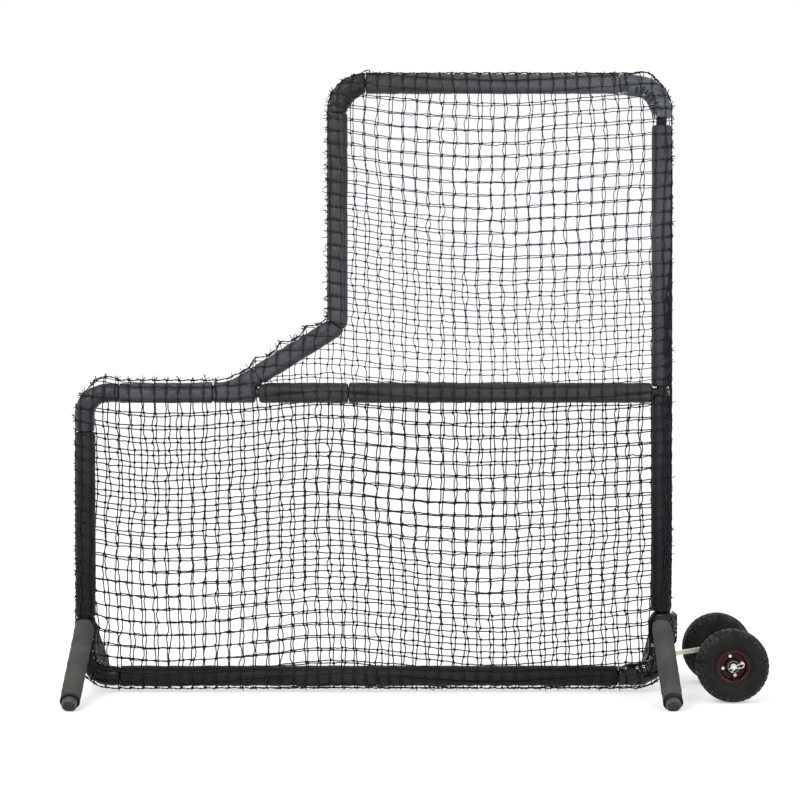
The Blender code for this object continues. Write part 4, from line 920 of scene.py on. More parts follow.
def bulgeShift(x, z):  # how far the lower right pad swells over the carriage's plate, at a height
    rise = smoothStep(z, bulge["bottom"] - 0.004, bulge["bottom"] + 0.030)
    fall = 1 - smoothStep(z, bulge["top"] - 0.012, bulge["top"] + 0.004)
    return bulge["offset"] * (rise * fall) * (x > rightX - 0.1)


def makeCornerPads():
    for node, look in cornerPads.items():
        xz, along, s = cornerRoute(node)
        theta = fullTurn(cornerShape["steps"])
        r, last = cornerShape["rounding"], look.get("endRounding", cornerShape["rounding"])
        quarter = np.linspace(0, math.pi / 2, 8)[:-1]
        nearIn, farIn = [n * (1 - np.cos(quarter)) for n in (r, last)]
        rowS = np.concatenate([nearIn, np.linspace(r, s[-1] - last, len(s)), (s[-1] - farIn)[::-1]])
        nearThin, farThin = [n * (1 - np.sin(quarter)) for n in (r, last)]
        inset = np.concatenate([nearThin, np.zeros(len(s)), farThin[::-1]])
        centre = np.stack([np.interp(rowS, s, xz[:, k]) for k in (0, 1)], -1)
        way = np.stack([np.interp(rowS, s, along[:, k]) for k in (0, 1)], -1)
        way /= np.linalg.norm(way, axis=1)[:, None]
        rise = np.stack([-way[:, 1], way[:, 0]], -1)
        heading = np.unwrap(np.arctan2(way[:, 1], way[:, 0]))
        bend = smoothStep(np.abs(np.gradient(heading, rowS)), 0.5, 6.0)[:, None]
        inner = np.sin(theta)[None, :]
        around = (theta * padRadius)[None, :]
        rows = rowS[:, None]
        # flat facets where the vinyl creases, radial puckers on the inside of the bend, soft lumps
        folds = look.get("folds", 1.0)
        facets = 0.0034 * folds * (creases(rows, around, look["seed"], 0.035, 0.085) - 0.62)
        ripple = np.sin(heading[:, None] * 26 + 0.8 * waves(rows, around, look["seed"] + 3, 0.03, 0.08))
        puckers = 0.0016 * bend * smoothStep(inner, -0.1, 0.8) * ripple
        lumps = 0.0008 * waves(rows, around, look["seed"] + 5, 0.03, 0.09)
        keep = 1 - smoothStep(inner, 0.90, 0.995)
        fromEnd = np.minimum(rows, s[-1] - rows)
        laced = smoothStep(fromEnd, 0.0, 0.045) * look.get("laced", 1)
        rho = padRadius + (teardrop(theta - math.pi / 2)[None, :] - padRadius) * laced
        rho = rho + np.minimum(facets + puckers * folds + lumps, 0.0012 * folds) * np.maximum(keep, 1 - laced)
        rho = np.maximum(rho - inset[:, None], padShape["bore"] + 0.003)
        dents, press = 0.0, 0.0
        arc = np.where(inner < 0, net["reach"] * np.arcsin(np.clip(-inner, 0, 1)), 0)
        u = centre[:, 0, None] - rise[:, 0, None] * arc
        v = centre[:, 1, None] - rise[:, 1, None] * arc
        contact = 1 - smoothStep(inner, 0.05, 0.35)
        for layer in (net["front"], net["back"]):
            reach = contact * smoothStep(np.cos(theta)[None, :] * layer["side"], -0.1, 0.25)
            near = strandDistance(u, v, layer)
            dents = dents - 0.0034 * reach * hump(near, 0.0080)
            press = press + 0.8 * reach * hump(near, 0.0050)
        foldShade = 0.8 * smoothStep(-facets - puckers * folds, 0.0016, 0.0036) * (folds > 1)  # painted shade in the folds
        press = press + foldShade
        rho = rho + dents
        out = rho * np.sin(theta)
        x = centre[:, 0, None] + rise[:, 0, None] * out
        z = centre[:, 1, None] + rise[:, 1, None] * out
        if node == "lower_right_corner_pad":  # the outer half moves right over the plate
            x = x + bulgeShift(x, z) * smoothStep(x - rightX, -0.002, 0.004)
        outer = np.stack([x, rho * np.cos(theta), z], -1)
        bore = padShape["bore"]
        ends = []
        for k in (0, -1):
            for share in (0.5, 1.0):
                radius = rho[k] * (1 - share) + bore * share
                hollow = 0.002 * share * (1 if k == 0 else -1)
                base = [centre[k, n] + way[k, n] * hollow for n in (0, 1)]
                x, z = [base[n] + rise[k, n] * radius * np.sin(theta) for n in (0, 1)]
                ends.append(np.stack([x, radius * np.cos(theta), z], -1))
        back = sweepRings(xz[::-4][1:-1], along[::-4][1:-1], bore, theta)
        rings = np.concatenate([ends[1][None], ends[0][None], outer, ends[2][None], ends[3][None], back])
        total = np.arange(len(rings)) * cornerShape["step"]
        part = facingOut(gridPart(rings, wrapRows=True, u=total, v=theta * padRadius))
        piece = makePiece(node + "_skin", [part], look["finish"])
        rest = np.zeros((len(rings) - len(press) - 2, len(theta)))
        pointMask(piece, "press", np.concatenate([np.zeros((2, len(theta))), press, rest]))
        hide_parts(node)


def onFlank(node, x, y, side, furthest):
    # the place on a corner pad's laced flank nearest to a place in the photograph, the way out of it and two
    # ways along it
    xz, along, _ = cornerRoute(node)
    spot = np.array(fromPixels(x, y))
    k = int(np.argmin(np.linalg.norm(xz - spot, axis=1)))
    inward = np.array([-along[k, 1], along[k, 0]])
    laced = cornerPads[node].get("laced", 1.0)
    edge = padRadius - 0.002 + (furthest - padRadius + 0.002) * laced
    e = float(np.clip((spot - xz[k]) @ inward, 0.028, edge))
    base = xz[k] + inward * e
    lean = math.atan(-(flankHeight(e + 0.001, laced) - flankHeight(e - 0.001, laced)) / 0.002)
    normal = np.array([inward[0] * math.sin(lean), side * math.cos(lean), inward[1] * math.sin(lean)])
    first = np.array([along[k, 0], 0, along[k, 1]])
    place = np.array([base[0], side * (flankHeight(e, laced) + 0.0004), base[1]])
    return place, normal, first, np.cross(normal, first)


def makeEyelets():
    # a rolled metal ring set in the flank with a dark disc behind its hole, painted shade, and open loops of
    # wire beside it
    rings, plugs, wires = [], [], []
    tube = np.linspace(0, 2 * math.pi, 9)[:-1]
    turn = np.linspace(0, 2 * math.pi, 25)[:-1]
    for side in (-1, 1):
        for node, places in eyelets.items():
            for x, y in places:
                centre, normal, first, second = onFlank(node, x, y, side, eyeletShape["furthest"])
                ring = (np.cos(turn)[:, None, None] * first + np.sin(turn)[:, None, None] * second)
                roll = ring * (eyeletShape["radius"] + eyeletShape["roll"] * np.cos(tube))[None, :, None]
                body = centre + roll + normal * (eyeletShape["rise"] * np.sin(tube))[None, :, None]
                rings.append(facingOut(gridPart(body, wrapRows=True)))
                hole = centre + ring[:, 0] * eyeletShape["hole"]
                flat = np.stack([hole + normal * height for height in eyeletShape["plug"]])
                plugs.append(facingOut(gridPart(flat, closeEnds=True)))
        for node, places in clips.items():
            for x, y, radius, start, sweep in places:
                centre, normal, first, second = onFlank(node, x, y, side, clipShape["furthest"])
                arc = np.radians(np.linspace(start, start + sweep, clipShape["stations"]))[:, None]
                arch = np.sin(np.linspace(0, math.pi, clipShape["stations"]))[:, None]
                lift = clipShape["lift"] + clipShape["bow"] * arch
                bow = radius / 1000 * (np.cos(arc) * first + np.sin(arc) * second)
                wires.append(wirePart(centre + bow + normal * lift, clipShape["wire"], 6))
    makePiece("corner_pad_eyelets", rings, eyeletNickel)
    # a dark disc in each eyelet's hole: painted shade
    makePiece("eyelet_hole_shade", plugs, netTwine)
    makePiece("corner_pad_clips", wires, whiteWire)


makeCornerPads()
makeEyelets()
print("corner pads made")


# feet: foam sleeves slipped over the leg tubes, and rubber caps

foot = {
    "reach": 0.355, "socket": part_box("left_foot_frame")[1][2] - 0.05, "hole": [0.040, 0.049],
    "sleeve": 0.0356, "bore": 0.0180, "steps": 72, "rows": 90, "rounding": 0.004,
    "capLength": 0.024, "capSteps": 56,
}
legLine = foot["reach"] / math.cos(legAngle)


def legFrame(x, way):  # the leg's start on the post, its direction and the two directions square to it
    start = np.array([x, 0, foot["socket"]])
    down = np.array([0, way * math.cos(legAngle), -math.sin(legAngle)])
    over = np.array([0, way * math.sin(legAngle), math.cos(legAngle)])
    return start, down, np.array([1.0, 0, 0]), over


def legRings(x, way, t, rho, theta):  # rings round a leg's line, t metres down it
    start, down, across, over = legFrame(x, way)
    aside, above = rho * np.cos(theta), rho * np.sin(theta)
    return start + t[..., None] * down + aside[..., None] * across + above[..., None] * over


def makeSleeve(x, way, name, node, seed):
    steps = foot["steps"]
    theta = fullTurn(steps)
    left, up = foot["sleeve"] * np.cos(theta), foot["sleeve"] * np.sin(theta)
    # the top is scooped round the pad: where each line of the sleeve leaves the pad's circle
    clear = padRadius + 0.0014
    aside = np.minimum(np.abs(left), clear - 0.0005)
    inner = left if x < 0 else -left  # towards the net, where the pad's laced flank is wider than its circle
    flank = np.array([flankHeight(e) if e > 0.020 else 0 for e in inner]) + 0.0016
    if x > 0:  # the right post's pad swells to the right, so its front is flat up to the swell's middle
        aside = np.where(left > 0, np.clip(np.abs(left) - bulge["offset"], 0, clear), aside)
    stand = np.maximum(np.sqrt(clear ** 2 - aside ** 2), flank)
    begin = (stand - up * math.sin(legAngle)) / math.cos(legAngle)
    end = legLine - foot["capLength"] - 0.0065
    count = foot["rows"]
    rows = np.concatenate([np.zeros(4), np.linspace(0, 1, count), np.ones(4)])[:, None]
    quarter = np.linspace(0, math.pi / 2, 5)[:-1]
    r = foot["rounding"]
    inset = r * (1 - np.sin(quarter))
    inset = np.concatenate([inset, np.zeros(count), inset[::-1]])[:, None]
    shift = np.concatenate([-r * np.cos(quarter), np.zeros(count), (r * np.cos(quarter))[::-1]])[:, None]
    t = begin + r + (end - begin - 2 * r) * rows + shift
    around = theta[None, :] * foot["sleeve"]
    dimples = 0.0006 * waves(t, around, seed, 0.02, 0.07) - 0.0006
    squash = -0.0012 * hump(t - end, 0.018)
    rho = foot["sleeve"] + dimples + squash - inset
    outer = legRings(x, way, t, rho, theta)
    bore = np.full(steps, foot["bore"])
    inner = [legRings(x, way, t[-1] + (t[0] - t[-1]) * share, bore, theta) for share in np.linspace(0, 1, 8)]
    rings = np.concatenate([outer, np.stack(inner)])
    u = np.concatenate([t.mean(1), np.linspace(t.max(), t.max() + 0.4, 8)])
    part = facingOut(gridPart(rings, wrapRows=True, u=u, v=theta * foot["sleeve"]))
    piece = makePiece(name, [part], legFoam)
    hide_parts(node)


# profiles of (radius, distance past the start of the cap)
capProfile = np.array([
    (0.0186, 0.0), (0.0235, 0.0), (0.0258, 0.0008), (0.0264, 0.003), (0.0264, 0.0055),
    (0.0255, 0.0064), (0.0255, 0.0072), (0.0264, 0.0082), (0.0265, 0.0140), (0.0265, 0.0205),
    (0.0258, 0.0230), (0.0236, 0.0238), (0.0160, 0.0240), (0.0060, 0.0238), (0.0, 0.0238)])
faceProfile = np.array([
    (0.0, 0.0237), (0.0160, 0.0237), (0.0205, 0.0237), (0.0209, 0.0240), (0.0206, 0.0243), (0.0160, 0.0244),
    (0.0, 0.0244)])


def collarProfile(deep):  # the sleeve's open end, near black: painted shade in the hollow round the cap
    return softProfile([(0.0280, -0.0058), (0.0348, -0.0058), (0.0348, deep), (0.0318, deep), (0.0300, 0.0),
                        (0.0272, 0.0)], 0.0012)


def makeCap(x, way, name, node):
    # a moulded tip: a short collar, a rounded shoulder and a flat end worn flat where it meets the floor
    theta = fullTurn(foot["capSteps"])

    def rings(profile):
        t = legLine - foot["capLength"] + profile[:, 1]
        return legRings(x, way, t[:, None], profile[:, 0, None] + 0 * theta, theta)

    points = rings(capProfile)
    points[..., 2] = np.maximum(points[..., 2], 0.0)
    hub = points[-1, :1].copy()
    flat = gridPart(points[:-1], u=capProfile[:-1, 1], v=theta * 0.025, closeEnds=True)
    flat[0][-1] = hub[0]
    piece = makePiece(name, [facingOut(flat)], capRubber, smooth=35)
    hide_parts(node)
    # the near-black collar is painted shade in the sleeve's mouth
    collar = collarProfile(0.0090 if x > 0 else 0.0030)
    points = rings(collar)
    points[..., 2] = np.maximum(points[..., 2], 0)
    part = facingOut(gridPart(points, wrapRows=True, u=collar[:, 1], v=theta * 0.033))
    makePiece(name + "_collar", [part], blackRubberAndShade, smooth=35)
    flat = gridPart(rings(faceProfile)[1:-1], u=faceProfile[1:-1, 1], v=theta * 0.02, closeEnds=True)
    makePiece(name + "_face", [facingOut(flat)], soleRubber, smooth=35)


for edge, x in (("left", leftX), ("right", rightX)):
    for label, way in (("front", -1), ("rear", 1)):
        makeSleeve(x, way, label + "_" + edge + "_leg_foam", label + "_" + edge + "_leg_sleeve", 60 + way)
        makeCap(x, way, label + "_" + edge + "_leg_tip", label + "_" + edge + "_leg_cap")
print("feet made")


# wheels

wheel = {
    "radius": 0.1286, "pitches": 34, "perPitch": 16, "lug": 0.0042, "groove": 0.0028,
    "rows": [0.0, 0.24, 0.56, 0.84, 1.0], "reach": 0.0510, "softEdge": 0.0013, "halfTrack": 0.18,
    "boltCircle": 0.0345, "boltAngle": 14.8, "boltSeat": 0.0029, "boltAcross": 0.0095,
    "boltHeight": {"outer": 0.0048, "inner": 0.0062},
}


def tyreSection():
    # half the section from the bead out over the sidewall to the crown, as a smooth curve of
    # (radius, distance from the middle)
    control = np.array([
        (0.0528, 0.0272), (0.0585, 0.0290), (0.0640, 0.0296), (0.0668, 0.0318), (0.0690, 0.0352),
        (0.0712, 0.0366), (0.0745, 0.0372), (0.0820, 0.0398), (0.0920, 0.0408), (0.1010, 0.0398),
        (0.1090, 0.0366), (0.1160, 0.0316), (0.1208, 0.0248), (0.1228, 0.0170), (0.1236, 0.0085),
        (0.1238, 0.0)])
    t = lengthAlong(control)
    fine = np.linspace(0, t[-1], 64)
    spread = np.array([math.exp(-(k / 2.0) ** 2) for k in range(-4, 5)])
    line = np.stack([np.interp(fine, t, control[:, k]) for k in (0, 1)], -1)
    padded = np.vstack([2 * line[0] - line[4:0:-1], line, (line[-2:-6:-1] * [1, -1])])
    return np.stack([np.convolve(padded[:, k], spread / spread.sum(), "valid") for k in (0, 1)], -1), fine


def makeTyre(name, centre, node, body, phase):
    # the section carried round the axle; chunky blocks rise along its normal, each row half a pitch on
    half, length = tyreSection()
    section = np.vstack([half, (half[:-1] * [1, -1])[::-1]])
    s = np.concatenate([length, 2 * length[-1] - length[:-1][::-1]])
    slope = np.gradient(section, s, axis=0)
    normal = np.stack([-slope[:, 1], slope[:, 0]], -1)
    normal /= np.linalg.norm(normal, axis=1)[:, None]
    reach = wheel["reach"]
    across = (s - s[-1] / 2) / reach  # -1 to 1 over the tread
    steps = wheel["pitches"] * wheel["perPitch"]
    turn = fullTurn(steps)
    pitchPlace = turn / (2 * math.pi) * wheel["pitches"] + phase
    height, edges = np.zeros((len(s), steps)), np.zeros((len(s), steps))
    edge = wheel["softEdge"] / reach
    for k in range(4):
        low, high = wheel["rows"][k] + wheel["groove"] / reach, wheel["rows"][k + 1]
        if k == 0:  # the middle row lies across the crown
            low = -high
        for way in (-1, 1) if k else (-1,):
            a = across * way if k else across
            row = smoothStep(a, low - edge, low + edge) * (1 - smoothStep(a, high - edge, high + edge))
            skew = a * (0.35 if k else 0.25)
            local = (pitchPlace[None, :] + 0.5 * (k % 2) + 0.25 * (way > 0) + skew[:, None]) % 1
            wide = 0.80 if k < 3 else 0.72
            block = smoothStep(local, 0.0, 0.07) * (1 - smoothStep(local, wide, wide + 0.07))
            fade = 1 if k < 3 else 1 - 0.55 * smoothStep(a, 0.86, 1.0)[:, None]
            height = np.maximum(height, row[:, None] * block * fade)
            rim = 4 * row * (1 - row)
            brink = row[:, None] * 4 * block * (1 - block)
            edges = np.maximum(edges, np.maximum(rim[:, None] * block, brink))
    ribs = 0.0005 * (hump(s - 0.0255, 0.0008) + hump(s[-1] - s - 0.0255, 0.0008))
    lift = wheel["lug"] * height + ribs[:, None]
    r = section[:, 0, None] + normal[:, 0, None] * lift
    w = section[:, 1, None] + normal[:, 1, None] * lift
    r = np.minimum(r, wheel["radius"] - 0.0001)
    inside = section[::-6] - normal[::-6] * 0.0045
    inside = np.clip(inside[1:-1], [0.0535, -0.0365], [0.1190, 0.0365])
    r = np.vstack([r, inside[:, 0, None] + 0 * turn])
    w = np.vstack([w, inside[:, 1, None] + 0 * turn])
    points = np.stack([r * np.sin(turn), w, -r * np.cos(turn)], -1) + centre
    u = np.concatenate([s, s[-1] + 0.01 * np.arange(1, len(inside) + 1)])
    part = facingOut(gridPart(points, wrapRows=True, u=u, v=turn * wheel["radius"]))
    piece = makePiece(name, [part], tyreRubber, body=body)
    # lighter lug edges and tops: painted highlight, with some dust
    sheenAndDust = (0.60 * edges + 0.34 * height) * (1 - 0.8 * smoothStep(np.abs(across), 0.72, 0.92))[:, None]
    sheenAndDust = sheenAndDust * (0.7 + 0.5 * waves(r[:len(s)], turn * 0.13, 9, 0.01, 0.06))
    pointMask(piece, "lugSheenAndDust", np.concatenate([sheenAndDust, np.zeros((len(inside), steps))]))
    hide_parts(node)


rimProfile = [
    (0.0580, 0.0316), (0.0587, 0.0309), (0.0583, 0.0301), (0.0548, 0.0295), (0.0522, 0.0285),
    (0.0508, 0.0262), (0.0508, 0.0002), (0.0214, 0.0002), (0.0214, 0.0145), (0.0236, 0.0145),
    (0.0248, 0.0105), (0.0262, 0.0060), (0.0290, 0.0033), (0.0415, 0.0028), (0.0446, 0.0034),
    (0.0452, 0.0062), (0.0466, 0.0070), (0.0470, 0.0110), (0.0474, 0.0250), (0.0490, 0.0286),
    (0.0535, 0.0308)]
hubProfile = [
    (0.0210, 0.0306), (0.0203, 0.0318), (0.0190, 0.0318), (0.0182, 0.0308), (0.0182, 0.0170),
    (0.0098, 0.0170), (0.0098, 0.0290), (0.0083, 0.0290)]
# a sprung pin, in mm: one prong through the axle, a long eye, and a second prong over the axle's end;
# and how far each point stands off
pinPath = [(-18.5, -7.0), (-9, -3.6), (0, 0.4), (12, 5.6), (24, 11.2), (31.5, 14.0), (36.0, 10.5),
           (34.0, 2.0), (26, -2.8), (14, -3.2), (7, -4.6), (0, -7.8), (-5, -13.0), (-10, -18.2)]
pinLift = [0, 0, 0, 0, 0, 0, 0.6, 1.2, 2.2, 3.4, 4.6, 5.0, 4.2, 3.4]
axlePlace = np.array([axle[0], 0, axle[2]])


def ringProfile(inner, outer, low, high, soft):
    return softProfile([(inner, low), (outer, low), (outer, high), (inner, high)], soft)


def hexHead(centre, way, across, height, turn):
    # a six-sided head with a domed top on a round washer, its axis along y
    angle = fullTurn(24)
    sector = (angle - turn + math.pi / 6) % (math.pi / 3) - math.pi / 6
    six = across / 2 / np.cos(sector)
    ring = np.full(24, across / 2 * 1.28)
    rows = [(ring, 0.0), (ring, 0.0010), (ring * 0.96, 0.0013), (six, 0.0013), (six, 0.0013 + height * 0.8),
            (np.minimum(six, across * 0.5), 0.0013 + height), (ring * 0.35, 0.0013 + height * 1.04)]
    rings = [np.stack([r * np.sin(angle), np.full(24, way * h), -r * np.cos(angle)], -1) for r, h in rows]
    points = np.stack(rings) + centre
    return facingOut(gridPart(points, closeEnds=True, u=np.linspace(0, 0.02, len(rows)), v=angle * 0.01))


def makeWheel(label, way):
    centre = np.array([axle[0], way * wheel["halfTrack"], axle[2]])
    body = label + "_wheel"
    makeTyre(label + "_tyre_tread", centre, label + "_tyre", body, 0.0 if way < 0 else 0.4)
    for half, sign in (("outer", way), ("inner", -way)):
        profile = softProfile([(r, sign * w) for r, w in rimProfile])
        part = turnedPart(profile, centre, 96)
        name = label + "_rim_" + half + "_shell"
        piece = makePiece(name, [part], rimPaint, body=body, smooth=40)
        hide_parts(label + "_rim_" + half + "_half")
        bolts = []
        for k in range(4):
            angle = math.radians(wheel["boltAngle"] + 90 * k)
            away = wheel["boltCircle"] * np.array([math.cos(angle), 0, math.sin(angle)])
            place = centre + away + [0, sign * wheel["boltSeat"], 0]
            bolts.append(hexHead(place, sign, wheel["boltAcross"], wheel["boltHeight"][half], 0.4 + k))
        kind = "bolts" if half == "outer" else "nuts"
        makePiece(label + "_rim_" + kind, bolts, paleZinc, body=body, smooth=35)
    profile = softProfile(hubProfile + [(r, -w) for r, w in reversed(hubProfile)], 0.0006)
    part = turnedPart(profile, centre, 64)
    piece = makePiece(label + "_hub_barrel", [part], hubSteel, body=body, smooth=35)
    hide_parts(label + "_hub_bearing")
    washers, seals = [], []
    for sign in (-1, 1):
        ring = ringProfile(0.0082, 0.0112, sign * 0.0293, sign * 0.0307, 0.0004)
        washers.append(turnedPart(ring, centre, 48))
        ring = ringProfile(0.0100, 0.0180, sign * 0.0175, sign * 0.0190, 0.0004)
        seals.append(turnedPart(ring, centre, 48))
    makePiece(label + "_axle_washers", washers, paleZinc, smooth=35)
    makePiece(label + "_bearing_seals", seals, blackRubberAndShade, body=body, smooth=35)
    low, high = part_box(label + "_axle_spacer")
    part = turnedPart(ringProfile(0.0083, 0.01235, low[1], high[1], 0.0006), axlePlace, 48)
    piece = makePiece(label + "_spacer_tube", [part], zinc, smooth=35)
    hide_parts(label + "_axle_spacer")
    pin = []
    for (x, z), lift in zip(pinPath, pinLift):
        pin.append((axle[0] + x / 1000, way * (0.2140 + lift / 1000), axle[2] + z / 1000))
    wire = wirePart(smoothCurve(pin, 90), 0.0016)
    piece = makePiece(label + "_cotter_wire", [wire], paleZinc)
    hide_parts(label + "_cotter_pin")


for label, way in (("front", -1), ("rear", 1)):
    makeWheel(label, way)
low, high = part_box("axle")
rod = [(0.0001, low[1]), (0.0066, low[1]), (0.0079, low[1] + 0.0013),
       (0.0079, high[1] - 0.0013), (0.0066, high[1]), (0.0001, high[1])]
rod = turnedPart(rod, axlePlace, 48, closed=False)
axleRod = makePiece("axle_rod", [rod], paleZinc, smooth=35)
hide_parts("axle")


# the two tubes that show between pads, smooth

def makeTube(name, node, route, radii):
    xz, along, s = roundedPath(route, radii, 0.01)
    theta = fullTurn(48)
    wall = [sweepRings(xz, along, r, theta) for r in (tubeRadius, tubeRadius - tubeWall)]
    rings = np.concatenate([wall[0], wall[1][::-1]])
    u = np.concatenate([s, s[-1] + 0.002 + s])
    part = facingOut(gridPart(rings, wrapRows=True, u=u, v=theta * tubeRadius))
    piece = makePiece(name, [part], blackSteel, smooth=50)
    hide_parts(node)


low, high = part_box("right_post_tube")
makeTube("right_post_pipe", "right_post_tube", [(rightX, low[2]), (rightX, high[2])], [])
low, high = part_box("upper_right_corner_tube")
route = [(rightX, low[2]), (rightX, topZ), (low[0], topZ)]
makeTube("upper_right_bend_pipe", "upper_right_corner_tube", route, [cornerRadius])
print("wheels and tubes made")


# the net: two layers of knotted mesh that turn round the outer pads and meet in a border cord

shoulderMiddle = ((leftX + throatX) / 2, railZ)
outline = roundedPath(
    [shoulderMiddle, (leftX, railZ), (leftX, bottomZ), (rightX, bottomZ), (rightX, topZ), (upperX, topZ),
     (upperX, mitreZ), (throatX, railZ), shoulderMiddle],
    [shoulderRadius] + [cornerRadius] * 4 + [padShape["elbow"], throatRadius], 0.003)
outlinePlaces, outlineWays, outlineLengths = [part[:-1] for part in outline]
# outwards, to the right of a line that keeps the net on its left
outlineNormals = np.stack([outlineWays[:, 1], -outlineWays[:, 0]], -1)
ridge = net["reach"] * math.pi / 2


def nearestFoot(uv):
    # for each place: the nearest step of the outline, how far outside it the place lies and how far along it
    index = np.zeros(len(uv), int)
    for start in range(0, len(uv), 4000):
        part = uv[start:start + 4000]
        away = ((part[:, None] - outlinePlaces[None]) ** 2).sum(-1)
        index[start:start + 4000] = away.argmin(1)
    offset = uv - outlinePlaces[index]
    slide = (offset * outlineWays[index]).sum(1)  # less than a step
    outside = np.sign((offset * outlineNormals[index]).sum(1))
    apart = np.sqrt(np.maximum((offset ** 2).sum(1) - slide ** 2, 0)) * outside
    return index, apart, slide


def looseness(index):
    # how far the border stands off the pads, by the place on the outline: most on the shoulder
    x, z = outlinePlaces[index, 0], outlinePlaces[index, 1]
    onTop = smoothStep(z, topZ - 0.05, topZ)
    ledge = smoothStep(z, railZ - 0.02, railZ) * (z < railZ + 0.03) * (x < throatX + 0.08)
    onSlope = (z > railZ + 0.03) * (z < mitreZ) * (x < upperX)
    loose = 0.0004 + ledge * (0.0085 + 0.014 * hump(x - fromPixels(108), 9 * pixel))
    for place in (264, 289, 315):  # on the slope the border leaves the pad in three arches
        loose = loose + onSlope * 0.018 * hump(x - fromPixels(place), 5 * pixel)
    crest = 0.0012 * (x > upperX + 0.1) + 0.010 * hump(x - fromPixels(643), 6 * pixel)
    loose = loose + 0.004 * onSlope + onTop * crest
    loose = loose + 0.006 * (1 - smoothStep(z, bottomZ, bottomZ + 0.1))
    return loose


padMiddles = [
    ((leftX, bottomZ), (rightX, bottomZ)), ((leftX, bottomZ), (leftX, railZ)),
    ((rightX, bottomZ), (rightX, topZ)), ((leftX, railZ), (rightX, railZ)), ((upperX, topZ), (rightX, topZ)),
    ((upperX, mitreZ), (upperX, topZ)), ((throatX, railZ), (upperX, mitreZ))]


def fromPad(uv):  # distance to the nearest pad's middle line
    nearest = np.full(len(uv), 9.0)
    for a, b in padMiddles:
        a, b = np.array(a), np.array(b)
        share = np.clip(((uv - a) @ (b - a)) / ((b - a) @ (b - a)), 0, 1)
        nearest = np.minimum(nearest, np.linalg.norm(uv - a - share[:, None] * (b - a), axis=1))
    return nearest


def aroundLegs(uv):
    # the mesh is pushed aside where a leg comes through it: r becomes (r^4 + 1)^(1/4), in a space squashed
    # to the leg's oval
    for x in (leftX, rightX):
        hole = np.array([x, foot["socket"] - 0.037 * math.tan(legAngle)])
        local = (uv - hole) / foot["hole"]
        r = np.linalg.norm(local, axis=1) + 1e-6
        uv = hole + local * ((r ** 4 + 1) ** 0.25 / r)[:, None] * foot["hole"]
    return uv


def layNet(uv, side):
    # flat sheet to space: level with the pads' faces inside the outline, and past it round the pads by arc
    # length, loosest at the border; gives places and the way out of the surface
    uv = aroundLegs(uv)
    index, gap, slide = nearestFoot(uv)
    places, outwards = outlinePlaces[index], outlineNormals[index]
    slack = 0.4 + 0.6 * waves(uv[:, 0], uv[:, 1], 5 + int(side), 0.4, 1.2)
    swell = 0.010 * smoothStep(fromPad(uv), 0.05, 0.35) * slack
    shift = bulgeShift(places[:, 0], places[:, 1]) * (outwards[:, 0] > 0.5)
    turn = np.clip((gap - shift) / net["reach"], 0, math.pi / 2 + 0.2)
    reach = net["reach"] + looseness(index) * np.sin(turn) ** 2
    edgePlace = places + outlineWays[index] * slide[:, None]
    out = np.where(gap > 0, np.minimum(np.maximum(gap, 0), shift) + reach * np.sin(turn), 0)
    flat = np.where(gap[:, None] > 0, edgePlace + outwards * out[:, None], uv)
    deep = side * np.where(gap > 0, net["reach"] * np.cos(turn), net["reach"] + swell)
    normal = [outwards[:, 0] * np.sin(turn), side * np.cos(turn), outwards[:, 1] * np.sin(turn)]
    return np.stack([flat[:, 0], deep, flat[:, 1]], -1), np.stack(normal, -1)


def tubeBatch(places, normals, radius, sides, lengths):
    # many short tubes at once: places is tubes by stations by 3
    along = np.gradient(places, axis=1)
    along /= np.linalg.norm(along, axis=2)[..., None] + 1e-9
    first = np.cross(along, normals)
    first /= np.linalg.norm(first, axis=2)[..., None] + 1e-9
    second = np.cross(first, along)
    count, stations = places.shape[:2]
    rings = places[:, :, None] + radius * spokes(first, second, sides)
    quads = gridFaces(stations, sides, False)
    base = (np.arange(count) * stations * sides)[:, None, None]
    u = np.linspace(0, 1, stations)
    corners = quadCorners(stations - 1, sides)
    shareU = np.stack([u[a] + 0 * b for a, b in corners], -1).reshape(-1, 4)
    roundV = np.stack([b * (2 * math.pi / sides) * radius + 0 * a for a, b in corners], -1).reshape(-1, 4)
    everyV = np.broadcast_to(roundV, (count, *roundV.shape))
    uv = np.stack([lengths[:, None, None] * shareU[None], everyV], -1).reshape(-1, 4, 2)
    cap = np.stack([np.arange(sides)[::-1], (stations - 1) * sides + np.arange(sides)])
    caps = (base + cap[None]).reshape(-1, sides)
    faces = (base + quads[None]).reshape(-1, 4)
    capUv = np.zeros((len(caps), sides, 2))
    return rings.reshape(-1, 3), [(faces[:, ::-1], uv[:, ::-1]), (caps[:, ::-1], capUv)]


